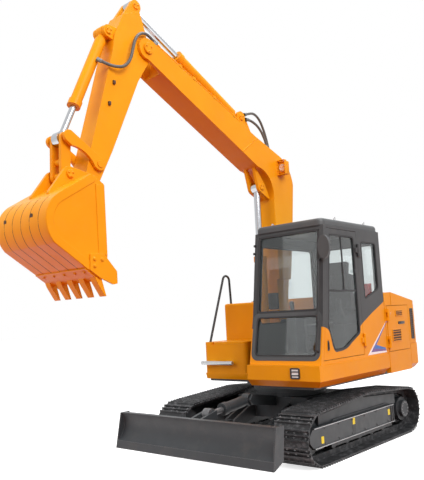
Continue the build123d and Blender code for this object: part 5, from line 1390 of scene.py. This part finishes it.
def seen_rays(tree):
    """One where the camera sees the surface, also in metal and through glass."""
    rays = tree.nodes.new("ShaderNodeLightPath").outputs
    found = rays["Is Camera Ray"]
    for kind in ("Is Glossy Ray", "Is Transmission Ray"):
        either = tree.nodes.new("ShaderNodeMath")
        either.operation = "MAXIMUM"
        tree.links.new(found, either.inputs[0])
        tree.links.new(rays[kind], either.inputs[1])
        found = either.outputs[0]
    return found


def show_by_ray(tree, lighting, seen, surface):
    """Joins one shader for the light that falls on the object, and another for what is seen."""
    blend = tree.nodes.new("ShaderNodeMixShader")
    tree.links.new(seen_rays(tree), blend.inputs[0])
    tree.links.new(lighting.outputs[0], blend.inputs[1])
    tree.links.new(seen.outputs[0], blend.inputs[2])
    tree.links.new(blend.outputs[0], surface)


def make_floor():
    """Floor that is white where it is seen and keeps the object's shadow, with a warm bounce."""
    mesh = bpy.data.meshes.new("floor")
    shape = bmesh.new()
    bmesh.ops.create_grid(shape, x_segments=1, y_segments=1, size=FLOOR_SIZE)
    shape.to_mesh(mesh)
    shape.free()
    floor = bpy.data.objects.new("floor", mesh)
    bpy.context.scene.collection.objects.link(floor)
    material = bpy.data.materials.new("floor")
    material.use_nodes = True
    tree = material.node_tree
    tree.nodes.remove(tree.nodes["Principled BSDF"])
    bounce = tree.nodes.new("ShaderNodeBsdfDiffuse")
    bounce.inputs["Color"].default_value = (*FLOOR_BOUNCE, 1)
    pale = tree.nodes.new("ShaderNodeBsdfDiffuse")
    pale.inputs["Color"].default_value = (FLOOR_TONE, FLOOR_TONE, FLOOR_TONE, 1)
    glow = tree.nodes.new("ShaderNodeEmission")
    glow.inputs["Strength"].default_value = FLOOR_SEEN
    both = tree.nodes.new("ShaderNodeAddShader")
    tree.links.new(pale.outputs[0], both.inputs[0])
    tree.links.new(glow.outputs[0], both.inputs[1])
    show_by_ray(tree, bounce, both, tree.nodes["Material Output"].inputs["Surface"])
    mesh.materials.append(material)


def make_world():
    """Soft light from all round, and plain white where it is seen."""
    world = bpy.data.worlds.new("world")
    bpy.context.scene.world = world
    world.use_nodes = True
    tree = world.node_tree
    sky = tree.nodes["Background"]
    sky.inputs["Color"].default_value = WHITE
    sky.inputs["Strength"].default_value = SKY_STRENGTH
    seen = tree.nodes.new("ShaderNodeBackground")
    seen.inputs["Color"].default_value = WHITE
    show_by_ray(tree, sky, seen, tree.nodes["World Output"].inputs["Surface"])


def soft_lamp(name, where, towards, size, watts, mirrored=True):
    """Square lamp; one that isn't mirrored leaves no pale square in the glass."""
    data = bpy.data.lights.new(name, "AREA")
    data.energy = watts
    data.size = size
    lamp = bpy.data.objects.new(name, data)
    lamp.location = where
    lamp.rotation_euler = (Vector(towards) - Vector(where)).to_track_quat("-Z", "Y").to_euler()
    lamp.visible_glossy = mirrored
    bpy.context.scene.collection.objects.link(lamp)


make_floor()
make_world()
soft_lamp("key_lamp", (4, 10, 8.5), (0, 0, 1.5), size=6, watts=1150)
soft_lamp("fill_lamp", (10, -3, 6), (0, 0, 2), size=7, watts=420, mirrored=False)
soft_lamp("top_lamp", (-2, 1, 12), (0, 0, 0), size=8, watts=850)

bpy.context.scene.view_settings.view_transform = "Standard"
